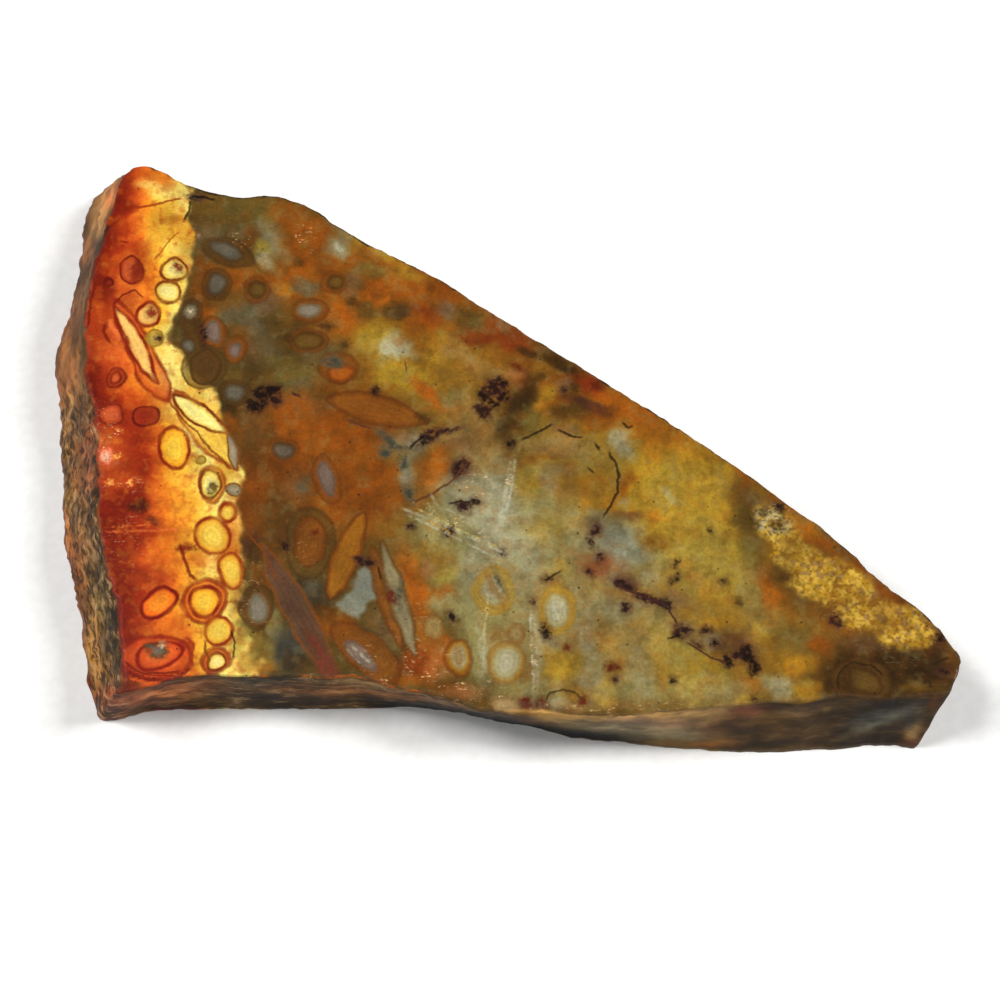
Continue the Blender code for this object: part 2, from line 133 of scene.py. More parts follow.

# Stains of the ground, and a few strips of painted sheen: middle pixel, half lengths, turn clockwise in
# degrees, tint and strength.
FIELD_STAINS = (
    (400, 300, 120, 60, 20, "tawny", 0.8), (350, 460, 80, 80, 0, "tawny", 0.85),
    (300, 420, 60, 30, 0, "tawny", 0.7), (270, 500, 45, 50, 0, "toffee", 0.8),
    (400, 360, 60, 40, 20, "ochre", 0.8), (470, 380, 60, 60, 30, "ochre", 0.8),
    (480, 520, 80, 80, 0, "sage", 1.0), (520, 600, 70, 70, 0, "sage", 0.9),
    (460, 460, 50, 30, 0, "fawn", 0.7), (600, 480, 90, 90, 30, "mustard", 0.85),
    (680, 520, 90, 90, 30, "mustard", 0.95), (620, 640, 100, 70, 0, "fawn", 0.7),
    (700, 640, 80, 60, 20, "mustard", 0.8), (780, 630, 70, 60, 30, "ochre", 0.85),
    (860, 620, 90, 50, 35, "toffee", 0.6), (884, 680, 66, 34, 0, "umber", 0.75),
    (540, 380, 60, 30, 30, "toffee", 0.6), (640, 420, 60, 22, 33, "tawny", 0.6),
    (210, 205, 26, 15, 10, "olive", 0.8), (205, 206, 16, 9, 0, "ochre", 0.45),
    (250, 212, 34, 14, 4, "moss", 0.8), (296, 222, 30, 18, 30, "tawny", 0.75),
    (272, 243, 14, 20, -35, "ash", 0.8), (262, 249, 9, 8, 0, "lime", 0.8),
    (240, 240, 14, 9, -10, "tawny", 0.85), (226, 236, 22, 10, 0, "pewter", 0.7),
    (266, 262, 6, 12, -30, "pearl", 0.7), (203, 240, 16, 16, 0, "pewter", 0.5),
    (286, 284, 24, 14, 0, "tawny", 0.9), (283, 287, 10, 8, 0, "amber", 0.6),
    (236, 278, 26, 12, 10, "tawny", 0.8), (205, 283, 14, 24, 0, "toffee", 0.8),
    (208, 311, 14, 9, 0, "tangerine", 0.75), (198, 332, 22, 16, 0, "bronze", 0.85),
    (245, 316, 24, 18, 0, "pewter", 0.75), (238, 342, 16, 14, 0, "tawny", 0.6),
    (262, 346, 18, 22, 0, "pewter", 0.6), (268, 300, 16, 12, 0, "mauve", 0.6),
    (286, 375, 26, 16, 10, "moss", 0.85), (240, 372, 22, 12, 0, "olive", 0.8),
    (262, 372, 14, 10, 0, "bronze", 0.5), (222, 345, 14, 20, 0, "olive", 0.6),
    (300, 405, 40, 10, 5, "mauve", 0.5), (290, 418, 34, 20, 10, "tangerine", 0.75),
    (256, 430, 14, 18, 0, "mauve", 0.5), (262, 468, 26, 18, 0, "toffee", 0.9),
    (250, 505, 18, 24, 0, "toffee", 0.9), (278, 516, 18, 30, 0, "bronze", 0.6),
    (250, 544, 11, 15, 0, "plum", 0.5), (300, 482, 16, 18, 0, "mauve", 0.55),
    (306, 486, 8, 11, 0, "pewter", 0.9), (306, 592, 22, 15, 0, "slate", 0.75),
    (318, 590, 10, 8, 0, "pewter", 0.6), (262, 580, 10, 16, 0, "toffee", 0.6),
    (275, 632, 7, 30, 8, "sage", 0.75), (248, 640, 12, 26, 0, "lime", 0.6),
    (262, 656, 16, 14, 0, "straw", 0.55), (290, 652, 17, 24, -10, "slate", 0.9),
    (296, 664, 14, 8, 0, "umber", 0.5), (240, 668, 30, 6, 0, "orange", 0.7),
    (310, 252, 26, 30, 20, "tawny", 0.85), (337, 246, 13, 11, 0, "ash", 0.9),
    (337, 245, 5, 4, 0, "milk", 0.6), (345, 232, 14, 6, 30, "ash", 0.6),
    (360, 246, 14, 9, 10, "ochre", 0.8), (375, 252, 12, 6, 10, "tawny", 0.8),
    (368, 272, 18, 8, 10, "moss", 0.8), (352, 286, 7, 14, 0, "mauve", 0.7),
    (305, 284, 15, 9, 0, "pewter", 0.8), (392, 250, 20, 8, 25, "lime", 0.55),
    (410, 280, 22, 8, 20, "ochre", 0.8), (384, 293, 26, 12, -10, "tangerine", 0.9),
    (420, 292, 26, 10, 10, "tawny", 0.9), (440, 284, 14, 10, 30, "toffee", 0.7),
    (338, 314, 20, 22, 0, "tangerine", 0.7), (362, 310, 14, 8, 20, "bronze", 0.5),
    (376, 312, 22, 8, 10, "olive", 0.5), (398, 311, 15, 9, 10, "bronze", 0.75),
    (400, 312, 7, 5, 0, "pewter", 0.6), (421, 321, 17, 14, 0, "brick", 0.6),
    (414, 330, 18, 12, 0, "tangerine", 0.7), (445, 311, 12, 10, 20, "mauve", 0.8),
    (470, 320, 16, 12, 20, "olive", 0.9), (456, 344, 14, 8, 10, "fawn", 0.8),
    (478, 336, 14, 7, 10, "brick", 0.7), (500, 322, 14, 7, 30, "mauve", 0.5),
    (510, 337, 26, 13, 30, "brick", 0.75), (528, 352, 14, 5, 25, "umber", 0.7),
    (382, 340, 26, 20, 0, "mustard", 0.95), (380, 344, 16, 12, 0, "lime", 0.5),
    (396, 351, 20, 9, 10, "pearl", 0.95), (391, 345, 10, 14, 20, "pearl", 0.8),
    (384, 362, 10, 6, -10, "ash", 0.7), (404, 376, 32, 15, 10, "mustard", 0.95),
    (398, 376, 16, 9, 10, "lime", 0.6), (436, 350, 26, 16, 20, "mustard", 0.85),
    (432, 340, 14, 8, 0, "lime", 0.4), (462, 356, 20, 9, 20, "fawn", 0.8),
    (452, 376, 22, 12, 20, "ochre", 0.7), (434, 396, 26, 6, 38, "tangerine", 0.9),
    (494, 356, 24, 10, 15, "ochre", 0.7), (494, 372, 26, 10, 0, "fawn", 0.6),
    (462, 410, 18, 14, 0, "fawn", 0.7), (452, 398, 12, 8, 0, "sage", 0.5),
    (478, 432, 26, 14, 0, "fawn", 0.85), (520, 374, 12, 6, 0, "rose", 0.4),
    (532, 384, 16, 7, 0, "brick", 0.5), (519, 406, 12, 36, 33, "bronze", 0.85),
    (517, 410, 9, 28, 33, "umber", 0.65), (340, 442, 46, 20, 8, "tangerine", 0.8),
    (300, 452, 16, 10, 0, "orange", 0.4), (360, 480, 40, 40, 0, "tawny", 0.8),
    (380, 505, 30, 24, 0, "toffee", 0.6), (396, 530, 20, 12, 0, "ochre", 0.7),
    (406, 441, 20, 15, 20, "sky", 0.85), (409, 470, 9, 28, -4, "sky", 0.85),
    (396, 452, 14, 8, 0, "moss", 0.6), (442, 450, 18, 8, -10, "ochre", 0.8),
    (436, 470, 16, 22, 15, "tangerine", 0.95), (440, 466, 8, 10, 0, "orange", 0.5),
    (461, 470, 9, 13, 30, "plum", 0.7), (472, 462, 12, 8, 0, "fawn", 0.7),
    (462, 446, 20, 8, 0, "mauve", 0.5), (414, 590, 14, 46, -16, "tangerine", 0.85),
    (442, 596, 14, 14, 0, "tangerine", 0.7), (430, 556, 20, 14, 0, "ochre", 0.7),
    (446, 574, 14, 9, 0, "lime", 0.7), (452, 606, 22, 12, 0, "sage", 0.9),
    (424, 566, 8, 8, 0, "rose", 0.5), (334, 622, 22, 14, 20, "tawny", 0.8),
    (384, 626, 18, 16, 20, "mauve", 0.4), (430, 656, 22, 22, 0, "tangerine", 0.85),
    (436, 662, 14, 16, 0, "rose", 0.4), (412, 666, 14, 16, 0, "brick", 0.6),
    (400, 680, 26, 6, 5, "tangerine", 0.7), (448, 690, 24, 9, 10, "toffee", 0.7),
    (468, 692, 20, 8, 5, "rose", 0.5), (480, 636, 14, 40, 0, "sage", 0.95),
    (494, 640, 12, 14, 0, "fawn", 0.6), (520, 602, 18, 16, 0, "sage", 0.7),
    (522, 560, 40, 16, 10, "sage", 0.8), (480, 492, 44, 26, 0, "ash", 0.9),
    (500, 506, 30, 30, 20, "ash", 0.8), (470, 508, 26, 14, 0, "pearl", 0.35),
    (446, 534, 34, 14, 20, "sage", 0.9), (500, 545, 30, 14, 10, "ash", 0.7),
    (528, 478, 22, 26, 0, "lime", 0.7), (532, 500, 18, 24, 0, "mustard", 0.6),
    (500, 448, 22, 10, -20, "fawn", 0.7), (540, 520, 26, 22, 0, "sage", 0.7),
    (560, 362, 18, 6, 30, "umber", 0.85), (574, 375, 8, 5, 60, "umber", 0.8),
    (590, 385, 20, 11, 15, "brick", 0.9), (592, 384, 10, 6, 10, "brick", 0.6),
    (610, 398, 14, 7, 20, "tangerine", 0.7), (545, 368, 12, 10, 0, "ochre", 0.6),
    (564, 386, 10, 8, 0, "mauve", 0.7), (548, 392, 10, 10, 0, "mustard", 0.8),
    (542, 410, 9, 9, 0, "amber", 0.6), (530, 421, 16, 12, 0, "moss", 0.8),
    (588, 406, 26, 6, 15, "plum", 0.8), (572, 414, 22, 8, 5, "bronze", 0.8),
    (598, 420, 18, 10, 0, "tawny", 0.7), (632, 415, 22, 10, 25, "tangerine", 0.7),
    (617, 440, 13, 11, 20, "pearl", 0.95), (626, 451, 11, 8, 30, "ash", 0.8),
    (566, 430, 14, 6, 15, "mauve", 0.6), (556, 446, 34, 14, 0, "fawn", 0.9),
    (534, 458, 26, 7, 5, "ochre", 0.8), (566, 470, 16, 8, 0, "mauve", 0.5),
    (570, 486, 16, 10, 0, "ochre", 0.8), (550, 482, 9, 14, 0, "rose", 0.4),
    (548, 482, 8, 12, 0, "ash", 0.5), (597, 494, 18, 20, 10, "amber", 0.65),
    (600, 488, 10, 12, 0, "straw", 0.4), (627, 482, 8, 13, 10, "tawny", 0.7),
    (626, 500, 7, 6, 0, "ash", 0.5), (628, 514, 14, 6, 10, "plum", 0.55),
    (666, 480, 24, 14, 0, "lime", 0.6), (700, 470, 40, 16, 30, "mustard", 0.7),
    (672, 498, 10, 5, 40, "pearl", 0.95), (653, 519, 10, 5, 0, "orange", 0.5),
    (619, 544, 26, 24, 20, "sky", 0.85), (600, 520, 14, 10, 0, "ash", 0.6),
    (594, 532, 8, 12, 0, "mauve", 0.4), (655, 541, 12, 8, 0, "ochre", 0.9),
    (680, 560, 14, 6, 20, "orange", 0.5), (552, 528, 30, 16, 0, "straw", 0.35),
    (566, 545, 30, 14, 0, "sage", 0.8), (580, 520, 20, 14, 0, "ash", 0.4),
    (746, 510, 13, 54, -8, "bronze", 0.75), (744, 528, 8, 30, -8, "olive", 0.6),
    (742, 473, 20, 7, 36, "tawny", 0.7), (595, 567, 15, 9, 0, "brick", 0.85),
    (582, 565, 8, 5, 0, "tangerine", 0.5), (560, 566, 14, 8, 10, "lime", 0.4),
    (624, 580, 16, 8, 10, "plum", 0.7), (654, 562, 20, 14, 0, "sage", 0.7),
    (612, 592, 10, 8, 0, "tawny", 0.5), (650, 610, 34, 12, 15, "ash", 0.5),
    (610, 640, 40, 26, 0, "fawn", 0.7), (640, 640, 20, 12, 30, "fawn", 0.35),
    (590, 668, 16, 30, -10, "ash", 0.7), (560, 664, 20, 16, 0, "mustard", 0.85),
    (556, 668, 8, 10, 0, "lime", 0.6), (576, 692, 16, 8, 0, "ochre", 0.8),
    (608, 692, 10, 18, -10, "straw", 0.7), (634, 692, 16, 16, 0, "sage", 0.7),
    (660, 650, 8, 16, -40, "yolk", 0.5), (680, 678, 12, 26, -36, "straw", 0.8),
    (694, 690, 7, 12, -20, "yolk", 0.4), (694, 658, 26, 16, 20, "lime", 0.5),
    (700, 581, 12, 6, 15, "ember", 0.5), (708, 590, 10, 6, 20, "tangerine", 0.5),
    (728, 596, 14, 16, 0, "ochre", 0.6), (716, 622, 16, 8, 0, "amber", 0.35),
    (728, 640, 20, 12, 0, "bronze", 0.55), (748, 646, 14, 12, 0, "mauve", 0.5),
    (722, 666, 14, 6, 0, "lime", 0.6), (548, 642, 9, 7, 0, "mauve", 0.6),
    (770, 600, 10, 16, -10, "tangerine", 0.75), (764, 578, 14, 8, 10, "toffee", 0.8),
    (790, 584, 16, 9, 15, "bronze", 0.6), (806, 606, 22, 12, 20, "bronze", 0.6),
    (800, 624, 22, 18, 20, "ochre", 0.6), (828, 640, 24, 12, 20, "moss", 0.5),
    (786, 566, 14, 16, 30, "bronze", 0.5), (796, 640, 20, 18, 0, "moss", 0.7),
    (760, 636, 12, 10, 0, "mustard", 0.9), (797, 664, 18, 10, 10, "amber", 0.55),
    (776, 686, 16, 12, 30, "pearl", 0.8), (806, 690, 16, 8, 0, "mustard", 0.8),
    (748, 686, 14, 8, 25, "tangerine", 0.55), (726, 694, 26, 10, 0, "fawn", 0.8),
    (742, 704, 20, 6, -8, "straw", 0.5), (818, 644, 14, 9, 10, "tawny", 0.7),
    (868, 644, 30, 8, 5, "mauve", 0.6), (846, 690, 10, 8, 0, "toffee", 0.7),
    (906, 662, 9, 14, 0, "umber", 0.8), (928, 668, 22, 12, 0, "umber", 0.6),
    (910, 686, 18, 9, 0, "bronze", 0.8), (908, 684, 12, 6, 0, "ochre", 0.45),
    (936, 650, 20, 9, 20, "clay", 0.6), (952, 664, 9, 12, 0, "tawny", 0.6),
    (870, 580, 34, 10, 40, "toffee", 0.7), (812, 534, 30, 8, 34, "tawny", 0.8),
    (802, 520, 24, 7, 36, "amber", 0.35), (786, 500, 20, 9, 34, "tawny", 0.7),
    (760, 498, 16, 8, 30, "mauve", 0.4), (918, 614, 24, 7, 42, "toffee", 0.7),
    # The two milk strips here are painted sheen along saw scratches.
    (455, 533, 60, 6, 25, "milk", 0.2), (507, 494, 6, 42, 12, "milk", 0.55),
    (372, 247, 30, 5, 28, "lime", 0.5), (404, 266, 26, 6, 28, "mustard", 0.6),
    (440, 290, 20, 6, 30, "tawny", 0.5), (506, 704, 13, 5, 0, "buff", 0.95),
    (542, 703, 40, 6, 3, "mauve", 0.7), (600, 706, 60, 4, 2, "fawn", 0.5),
    (650, 580, 14, 8, 10, "ash", 0.6), (606, 560, 20, 30, -20, "sky", 0.4),
    (640, 556, 14, 10, 0, "sky", 0.5), (690, 604, 26, 8, 20, "mauve", 0.5),
    (735, 650, 26, 16, 20, "plum", 0.35), (700, 634, 30, 12, 20, "mauve", 0.6),
    (598, 566, 30, 12, 10, "brick", 0.3), (720, 560, 10, 30, -10, "moss", 0.35),
    (560, 500, 26, 16, 0, "ash", 0.35), (545, 470, 20, 10, 0, "ash", 0.3),
    (420, 420, 40, 8, -6, "moss", 0.4), (340, 400, 30, 6, 8, "olive", 0.6),
    (300, 385, 20, 8, 0, "pewter", 0.5), (276, 330, 14, 20, 0, "bronze", 0.5),
    (250, 362, 20, 10, 0, "bronze", 0.5), (320, 352, 20, 10, 0, "pewter", 0.4),
    (282, 318, 12, 14, 0, "olive", 0.5), (232, 300, 16, 10, 0, "tawny", 0.4),
    (608, 480, 18, 40, 0, "bronze", 0.3), (706, 690, 40, 16, -4, "sage", 0.6),
    (700, 560, 40, 34, 10, "sage", 0.4), (706, 560, 36, 30, 0, "lime", 0.3),
    (546, 690, 30, 12, 0, "sage", 0.6), (514, 690, 26, 12, 0, "sage", 0.6),
    (610, 656, 26, 24, 0, "straw", 0.3), (660, 640, 40, 20, 10, "sage", 0.45),
    (600, 600, 30, 26, 0, "sage", 0.4), (720, 600, 30, 26, 0, "lime", 0.35),
    (690, 500, 40, 30, 0, "straw", 0.3), (590, 460, 16, 14, 0, "sage", 0.4),
    (560, 620, 20, 30, 0, "sage", 0.35), (760, 620, 20, 20, 0, "sage", 0.35),
    (492, 500, 16, 30, 14, "pearl", 0.6), (500, 575, 50, 16, 0, "pearl", 0.3),
    (640, 690, 40, 12, 0, "sage", 0.4), (514, 464, 20, 20, 0, "bronze", 0.4),
    (482, 432, 22, 16, 0, "bronze", 0.3), (418, 340, 20, 14, 0, "toffee", 0.5),
    (290, 592, 16, 20, 0, "umber", 0.6), (322, 600, 14, 20, 0, "umber", 0.35),
    (300, 466, 34, 18, 0, "toffee", 0.5), (354, 500, 22, 24, 0, "toffee", 0.5),
    (226, 400, 10, 20, 0, "bronze", 0.6), (450, 462, 12, 12, 0, "toffee", 0.3),
    (418, 500, 14, 14, 0, "ochre", 0.4), (360, 400, 30, 14, 0, "tawny", 0.3),
    (330, 440, 86, 34, 0, "toffee", 0.4), (258, 436, 20, 30, 0, "bronze", 0.35),
    (580, 480, 26, 32, 0, "bronze", 0.25), (226, 420, 9, 30, 0, "bronze", 0.5),
    (802, 556, 14, 12, 30, "straw", 0.4), (546, 592, 20, 20, 0, "ochre", 0.7),
    (418, 496, 16, 16, 0, "toffee", 0.5), (482, 562, 20, 20, 0, "pearl", 0.4),
    (424, 462, 14, 18, 0, "bronze", 0.35), (258, 656, 14, 16, 0, "moss", 0.45),
    (610, 530, 20, 16, 0, "pewter", 0.5), (386, 432, 18, 10, 0, "toffee", 0.6),
    (880, 672, 60, 26, 4, "umber", 0.7), (838, 690, 18, 14, 0, "umber", 0.4),
    (906, 690, 26, 10, 0, "bronze", 0.5), (236, 236, 20, 8, 20, "bronze", 0.5),
    (500, 520, 30, 40, 12, "pearl", 0.45), (540, 600, 20, 60, 0, "pearl", 0.3),
    # The two pearl strips here are painted sheen along saw scratches.
    (482, 650, 5, 32, 0, "pearl", 0.5), (534, 652, 5, 42, -2, "pearl", 0.45),
    (498, 470, 10, 20, 0, "pearl", 0.4), (520, 548, 34, 12, 10, "pearl", 0.4),
    (470, 574, 14, 26, 0, "ash", 0.6), (530, 575, 16, 26, 0, "ash", 0.5),
    (577, 560, 12, 40, 0, "ash", 0.4), (610, 610, 24, 12, 10, "ash", 0.6),
    (590, 640, 10, 34, -12, "ash", 0.5), (640, 672, 12, 26, -24, "ash", 0.5),
    (712, 640, 10, 10, 0, "ash", 0.5), (740, 560, 14, 30, 0, "lime", 0.35),
    (228, 402, 12, 15, 0, "umber", 0.5), (233, 430, 9, 16, -20, "tangerine", 0.9),
    (226, 436, 18, 14, 0, "bronze", 0.55), (508, 426, 15, 17, 0, "bronze", 0.55),
    (522, 402, 12, 18, 20, "umber", 0.4), (500, 325, 6, 6, 0, "ash", 0.4),
    (560, 702, 10, 7, 0, "pearl", 0.5), (224, 396, 14, 12, 0, "umber", 0.45),
    (690, 520, 26, 40, 0, "lime", 0.35), (660, 600, 30, 10, 10, "mauve", 0.4),
    (750, 590, 12, 30, 0, "sage", 0.5), (893, 668, 16, 20, 0, "umber", 0.6),
    (914, 690, 16, 6, 0, "ochre", 0.4), (956, 660, 8, 14, 10, "bronze", 0.6),
    (926, 664, 18, 18, 0, "umber", 0.4), (818, 644, 12, 8, 0, "toffee", 0.3),
    (797, 664, 16, 9, 0, "mustard", 0.4),
)
# Stains of the bright band: pits and a pale spot by the rind, darker red above the great root. The rose spot
# at (108, 457) by the rind is a painted highlight.
BAND_STAINS = (
    (128, 186, 9, 14, 0, "rust", 0.6), (116, 226, 12, 24, 10, "maroon", 0.7),
    (150, 183, 14, 5, 0, "cream", 0.6), (166, 192, 16, 6, -10, "cream", 0.7),
    (140, 197, 10, 4, 0, "ember", 0.5), (104, 268, 12, 34, 0, "maroon", 0.6),
    (128, 304, 16, 12, 0, "rust", 0.5), (98, 312, 10, 24, 0, "rust", 0.5),
    (110, 352, 16, 12, 20, "ember", 0.6), (104, 395, 22, 14, 0, "maroon", 0.55),
    (138, 470, 18, 22, 0, "maroon", 0.35), (120, 500, 22, 14, 0, "maroon", 0.6),
    (118, 560, 20, 34, 0, "maroon", 0.45), (138, 626, 22, 8, -20, "ember", 0.6),
    (140, 646, 14, 22, 0, "rust", 0.5), (108, 446, 16, 26, 0, "coral", 0.45),
    (104, 440, 9, 12, 20, "rose", 0.4), (108, 457, 8, 9, 0, "rose", 0.9),
    (122, 418, 30, 16, 0, "rust", 0.4), (112, 466, 22, 30, 0, "ember", 0.4),
    (120, 432, 34, 10, 0, "rust", 0.4), (128, 352, 26, 30, 0, "coral", 0.3),
    (128, 236, 22, 20, 0, "ember", 0.4), (120, 480, 24, 9, 0, "ember", 0.4),
    (92, 330, 14, 30, 10, "ember", 0.5), (100, 250, 14, 12, -20, "maroon", 0.5),
    (130, 262, 18, 22, 0, "rust", 0.4), (150, 246, 18, 7, -60, "rust", 0.35),
    (140, 560, 40, 30, 0, "rust", 0.35), (124, 610, 16, 40, 0, "maroon", 0.3),
    (150, 530, 30, 10, 0, "maroon", 0.35), (160, 680, 44, 6, -4, "ember", 0.6),
    (165, 671, 40, 4, -8, "maroon", 0.5), (180, 640, 12, 24, 0, "rust", 0.5),
    (140, 580, 14, 6, 20, "ember", 0.5), (190, 560, 12, 20, 0, "orange", 0.5),
    (234, 640, 10, 26, 0, "straw", 0.4), (200, 560, 14, 8, 0, "ember", 0.35),
    (150, 178, 24, 12, 10, "ember", 0.5), (192, 240, 10, 20, 0, "ochre", 0.5),
    (128, 684, 18, 8, -6, "hide", 0.5), (124, 656, 14, 30, 0, "maroon", 0.6),
    (190, 215, 10, 20, 0, "yolk", 0.5), (166, 222, 16, 20, 0, "amber", 0.45),
    (232, 540, 9, 16, 0, "amber", 0.5), (236, 602, 8, 18, 0, "ochre", 0.5),
    (238, 640, 9, 14, 0, "lime", 0.5), (246, 664, 9, 10, 0, "ochre", 0.6),
    (226, 468, 10, 14, 0, "amber", 0.5), (228, 430, 9, 26, -20, "ochre", 0.7),
    (224, 560, 8, 10, 0, "ember", 0.35), (198, 384, 12, 8, 30, "amber", 0.4),
    (155, 250, 12, 12, 0, "yolk", 0.4), (186, 236, 16, 12, 20, "amber", 0.5),
    (180, 262, 20, 8, 0, "orange", 0.3), (150, 395, 24, 8, 20, "ember", 0.5),
    (160, 434, 14, 24, 0, "orange", 0.4), (130, 304, 16, 24, 0, "coral", 0.3),
    (232, 530, 8, 30, 0, "ember", 0.35), (196, 400, 10, 24, -40, "amber", 0.35),
    (216, 440, 16, 8, 40, "orange", 0.6), (184, 500, 12, 30, 0, "orange", 0.3),
    (176, 424, 10, 14, 0, "yolk", 0.5), (222, 590, 12, 14, 0, "amber", 0.4),
    (128, 208, 9, 8, 0, "maroon", 0.6), (124, 186, 9, 13, 20, "maroon", 0.45),
    (152, 187, 10, 4, 10, "cream", 0.6), (166, 198, 12, 4, -8, "cream", 0.6),
    (184, 194, 8, 6, 0, "cream", 0.7), (172, 219, 10, 6, 0, "tawny", 0.55),
    (162, 236, 10, 10, 0, "yolk", 0.5), (181, 208, 7, 6, 0, "cream", 0.5),
    (106, 240, 10, 10, -40, "maroon", 0.5), (142, 250, 7, 10, 0, "rust", 0.4),
    (136, 412, 30, 16, 0, "rust", 0.3), (222, 430, 16, 12, 45, "tangerine", 0.6),
    (227, 446, 9, 10, 0, "ochre", 0.4), (230, 558, 13, 17, 0, "tangerine", 0.75),
    (139, 508, 10, 5, 10, "soot", 0.5), (153, 522, 8, 4, 20, "soot", 0.35),
    (162, 174, 20, 9, 0, "tangerine", 0.5),
)
STAIN_SOFT = 0.55

# Grains of the pale patch near the tip: outline in pixels.
GRAIN_PATCH = (
    (756, 508), (762, 530), (772, 552), (784, 572), (800, 592), (816, 604), (834, 606), (842, 626),
    (856, 634), (872, 632), (890, 646), (906, 652), (928, 644), (936, 632), (916, 612), (896, 602),
    (880, 596), (866, 580), (848, 566), (828, 556), (806, 544), (796, 528), (790, 514), (776, 506),
)


# Whole numbers that scramble a lattice point and a seed, and where the lattice starts.
SCRAMBLE_X, SCRAMBLE_Y, SCRAMBLE_SEED, SCRAMBLE_AGAIN = 374761393, 668265263, 974634777, 1274126177
WORD, HALF_WORD = 0xFFFFFFFF, 0xFFFF
LATTICE_START = 1000.0
# How much smaller and weaker each size of noise is than the one before, and the strength of the whole.
OCTAVE_SHRINK, OCTAVE_FADE, CLOUD_GAIN = 2.1, 0.55, 1.5
FAR_AWAY = 1e9


def hashed(ix, iy, seed):
    """A random number from 0 to 1 for each lattice point: its two whole numbers and the seed, scrambled."""
    n = (ix * SCRAMBLE_X + iy * SCRAMBLE_Y + seed * SCRAMBLE_SEED) & WORD
    n = ((n ^ (n >> 13)) * SCRAMBLE_AGAIN) & WORD
    return ((n ^ (n >> 16)) & HALF_WORD) / float(HALF_WORD)


def cloud(x, y, size, seed):
    """Soft noise from -1 to 1: random values on a lattice of that size, with smooth steps between them."""
    x, y = np.asarray(x) / size + LATTICE_START, np.asarray(y) / size + LATTICE_START
    ix, iy = np.floor(x).astype(np.int64), np.floor(y).astype(np.int64)
    fx, fy = x - ix, y - iy
    fx, fy = fx * fx * (3 - 2 * fx), fy * fy * (3 - 2 * fy)
    low = hashed(ix, iy, seed) * (1 - fx) + hashed(ix + 1, iy, seed) * fx
    high = hashed(ix, iy + 1, seed) * (1 - fx) + hashed(ix + 1, iy + 1, seed) * fx
    return (low * (1 - fy) + high * fy) * 2 - 1


def clouds(x, y, size, seed, octaves=3):
    """Noise at several sizes, each about half the one before and turned, at about half its strength."""
    total, strength, weight = 0.0, 1.0, 0.0
    for octave in range(octaves):
        total = total + cloud(x, y, size, seed + octave * 17) * strength
        weight += strength
        x, y = 0.8 * x - 0.6 * y, 0.6 * x + 0.8 * y
        size, strength = size / OCTAVE_SHRINK, strength * OCTAVE_FADE
    return total / weight * CLOUD_GAIN


def grains(x, y, size, seed):
    """Grains round scattered points: distance to the nearest and second nearest, and the nearest's number."""
    x, y = x / size + LATTICE_START, y / size + LATTICE_START
    ix, iy = np.floor(x).astype(np.int64), np.floor(y).astype(np.int64)
    first, second, number = np.full(x.shape, FAR_AWAY), np.full(x.shape, FAR_AWAY), np.zeros(x.shape)
    for dx in (-1, 0, 1):
        for dy in (-1, 0, 1):
            px = ix + dx + hashed(ix + dx, iy + dy, seed)
            py = iy + dy + hashed(ix + dx, iy + dy, seed + 1)
            away = np.hypot(x - px, y - py)
            nearer = away < first
            second = np.where(nearer, first, np.minimum(second, away))
            number = np.where(nearer, hashed(ix + dx, iy + dy, seed + 2), number)
            first = np.where(nearer, away, first)
    return first, second, number


def step(value, low, high):
    """0 below low, 1 above high, smooth between."""
    share = np.clip((value - low) / (high - low), 0.0, 1.0)
    return share * share * (3 - 2 * share)


def stretch(place, rise, fall):
    """1 along a stretch: it rises between the first two places and falls between the last two."""
    return step(place, *rise) * (1 - step(place, *fall))


def tint(name):
    """A tint of the palette, from 0 to 1."""
    return np.array(TINTS[name], float) / 255.0


def kind_tint(kind, part):
    """One tint of a kind of root: its core, its edge or its wall."""
    return np.array(KINDS[kind][part], float) / 255.0


def tinted(colour, name, share):
    """The colours moved towards a tint by a share at each point."""
    return colour + (tint(name) - colour) * np.clip(share, 0, 1)[:, None]


def in_frame_of(u, v, middle_u, middle_v, turn):
    """Pixels seen from a mark's own middle, along and across its length."""
    turn = math.radians(turn)
    du, dv = u - middle_u, v - middle_v
    return du * math.cos(turn) + dv * math.sin(turn), dv * math.cos(turn) - du * math.sin(turn)


def near_to(u, v, middle_u, middle_v, reach):
    """Numbers of the points within a square of that half width."""
    return np.flatnonzero((np.abs(u - middle_u) < reach) & (np.abs(v - middle_v) < reach))


def inside_outline(u, v, outline):
    """Signed distance to a closed outline, positive inside: the least distance to any of its sides."""
    corners = np.array(outline, float)
    best = np.full(len(u), FAR_AWAY)
    crossed = np.zeros(len(u), bool)
    for (u0, v0), (u1, v1) in zip(corners, np.roll(corners, -1, axis=0)):
        du, dv = u1 - u0, v1 - v0
        share = np.clip(((u - u0) * du + (v - v0) * dv) / (du * du + dv * dv), 0, 1)
        best = np.minimum(best, np.hypot(u - u0 - share * du, v - v0 - share * dv))
        if v0 != v1:
            crossed ^= ((v0 > v) != (v1 > v)) & (u < du * (v - v0) / dv + u0)
    return np.where(crossed, best, -best)


def lay_stains(colour, u, v, stains):
    """Stains one over the other: each is an ellipse that fades at its edge."""
    for middle_u, middle_v, long, short, turn, name, strength in stains:
        near = near_to(u, v, middle_u, middle_v, max(long, short) * (1 + STAIN_SOFT))
        along, across = in_frame_of(u[near], v[near], middle_u, middle_v, turn)
        away = np.hypot(along / long, across / short)
        colour[near] = tinted(colour[near], name, strength * step(-away, -1 - STAIN_SOFT, -1 + STAIN_SOFT))
    return colour


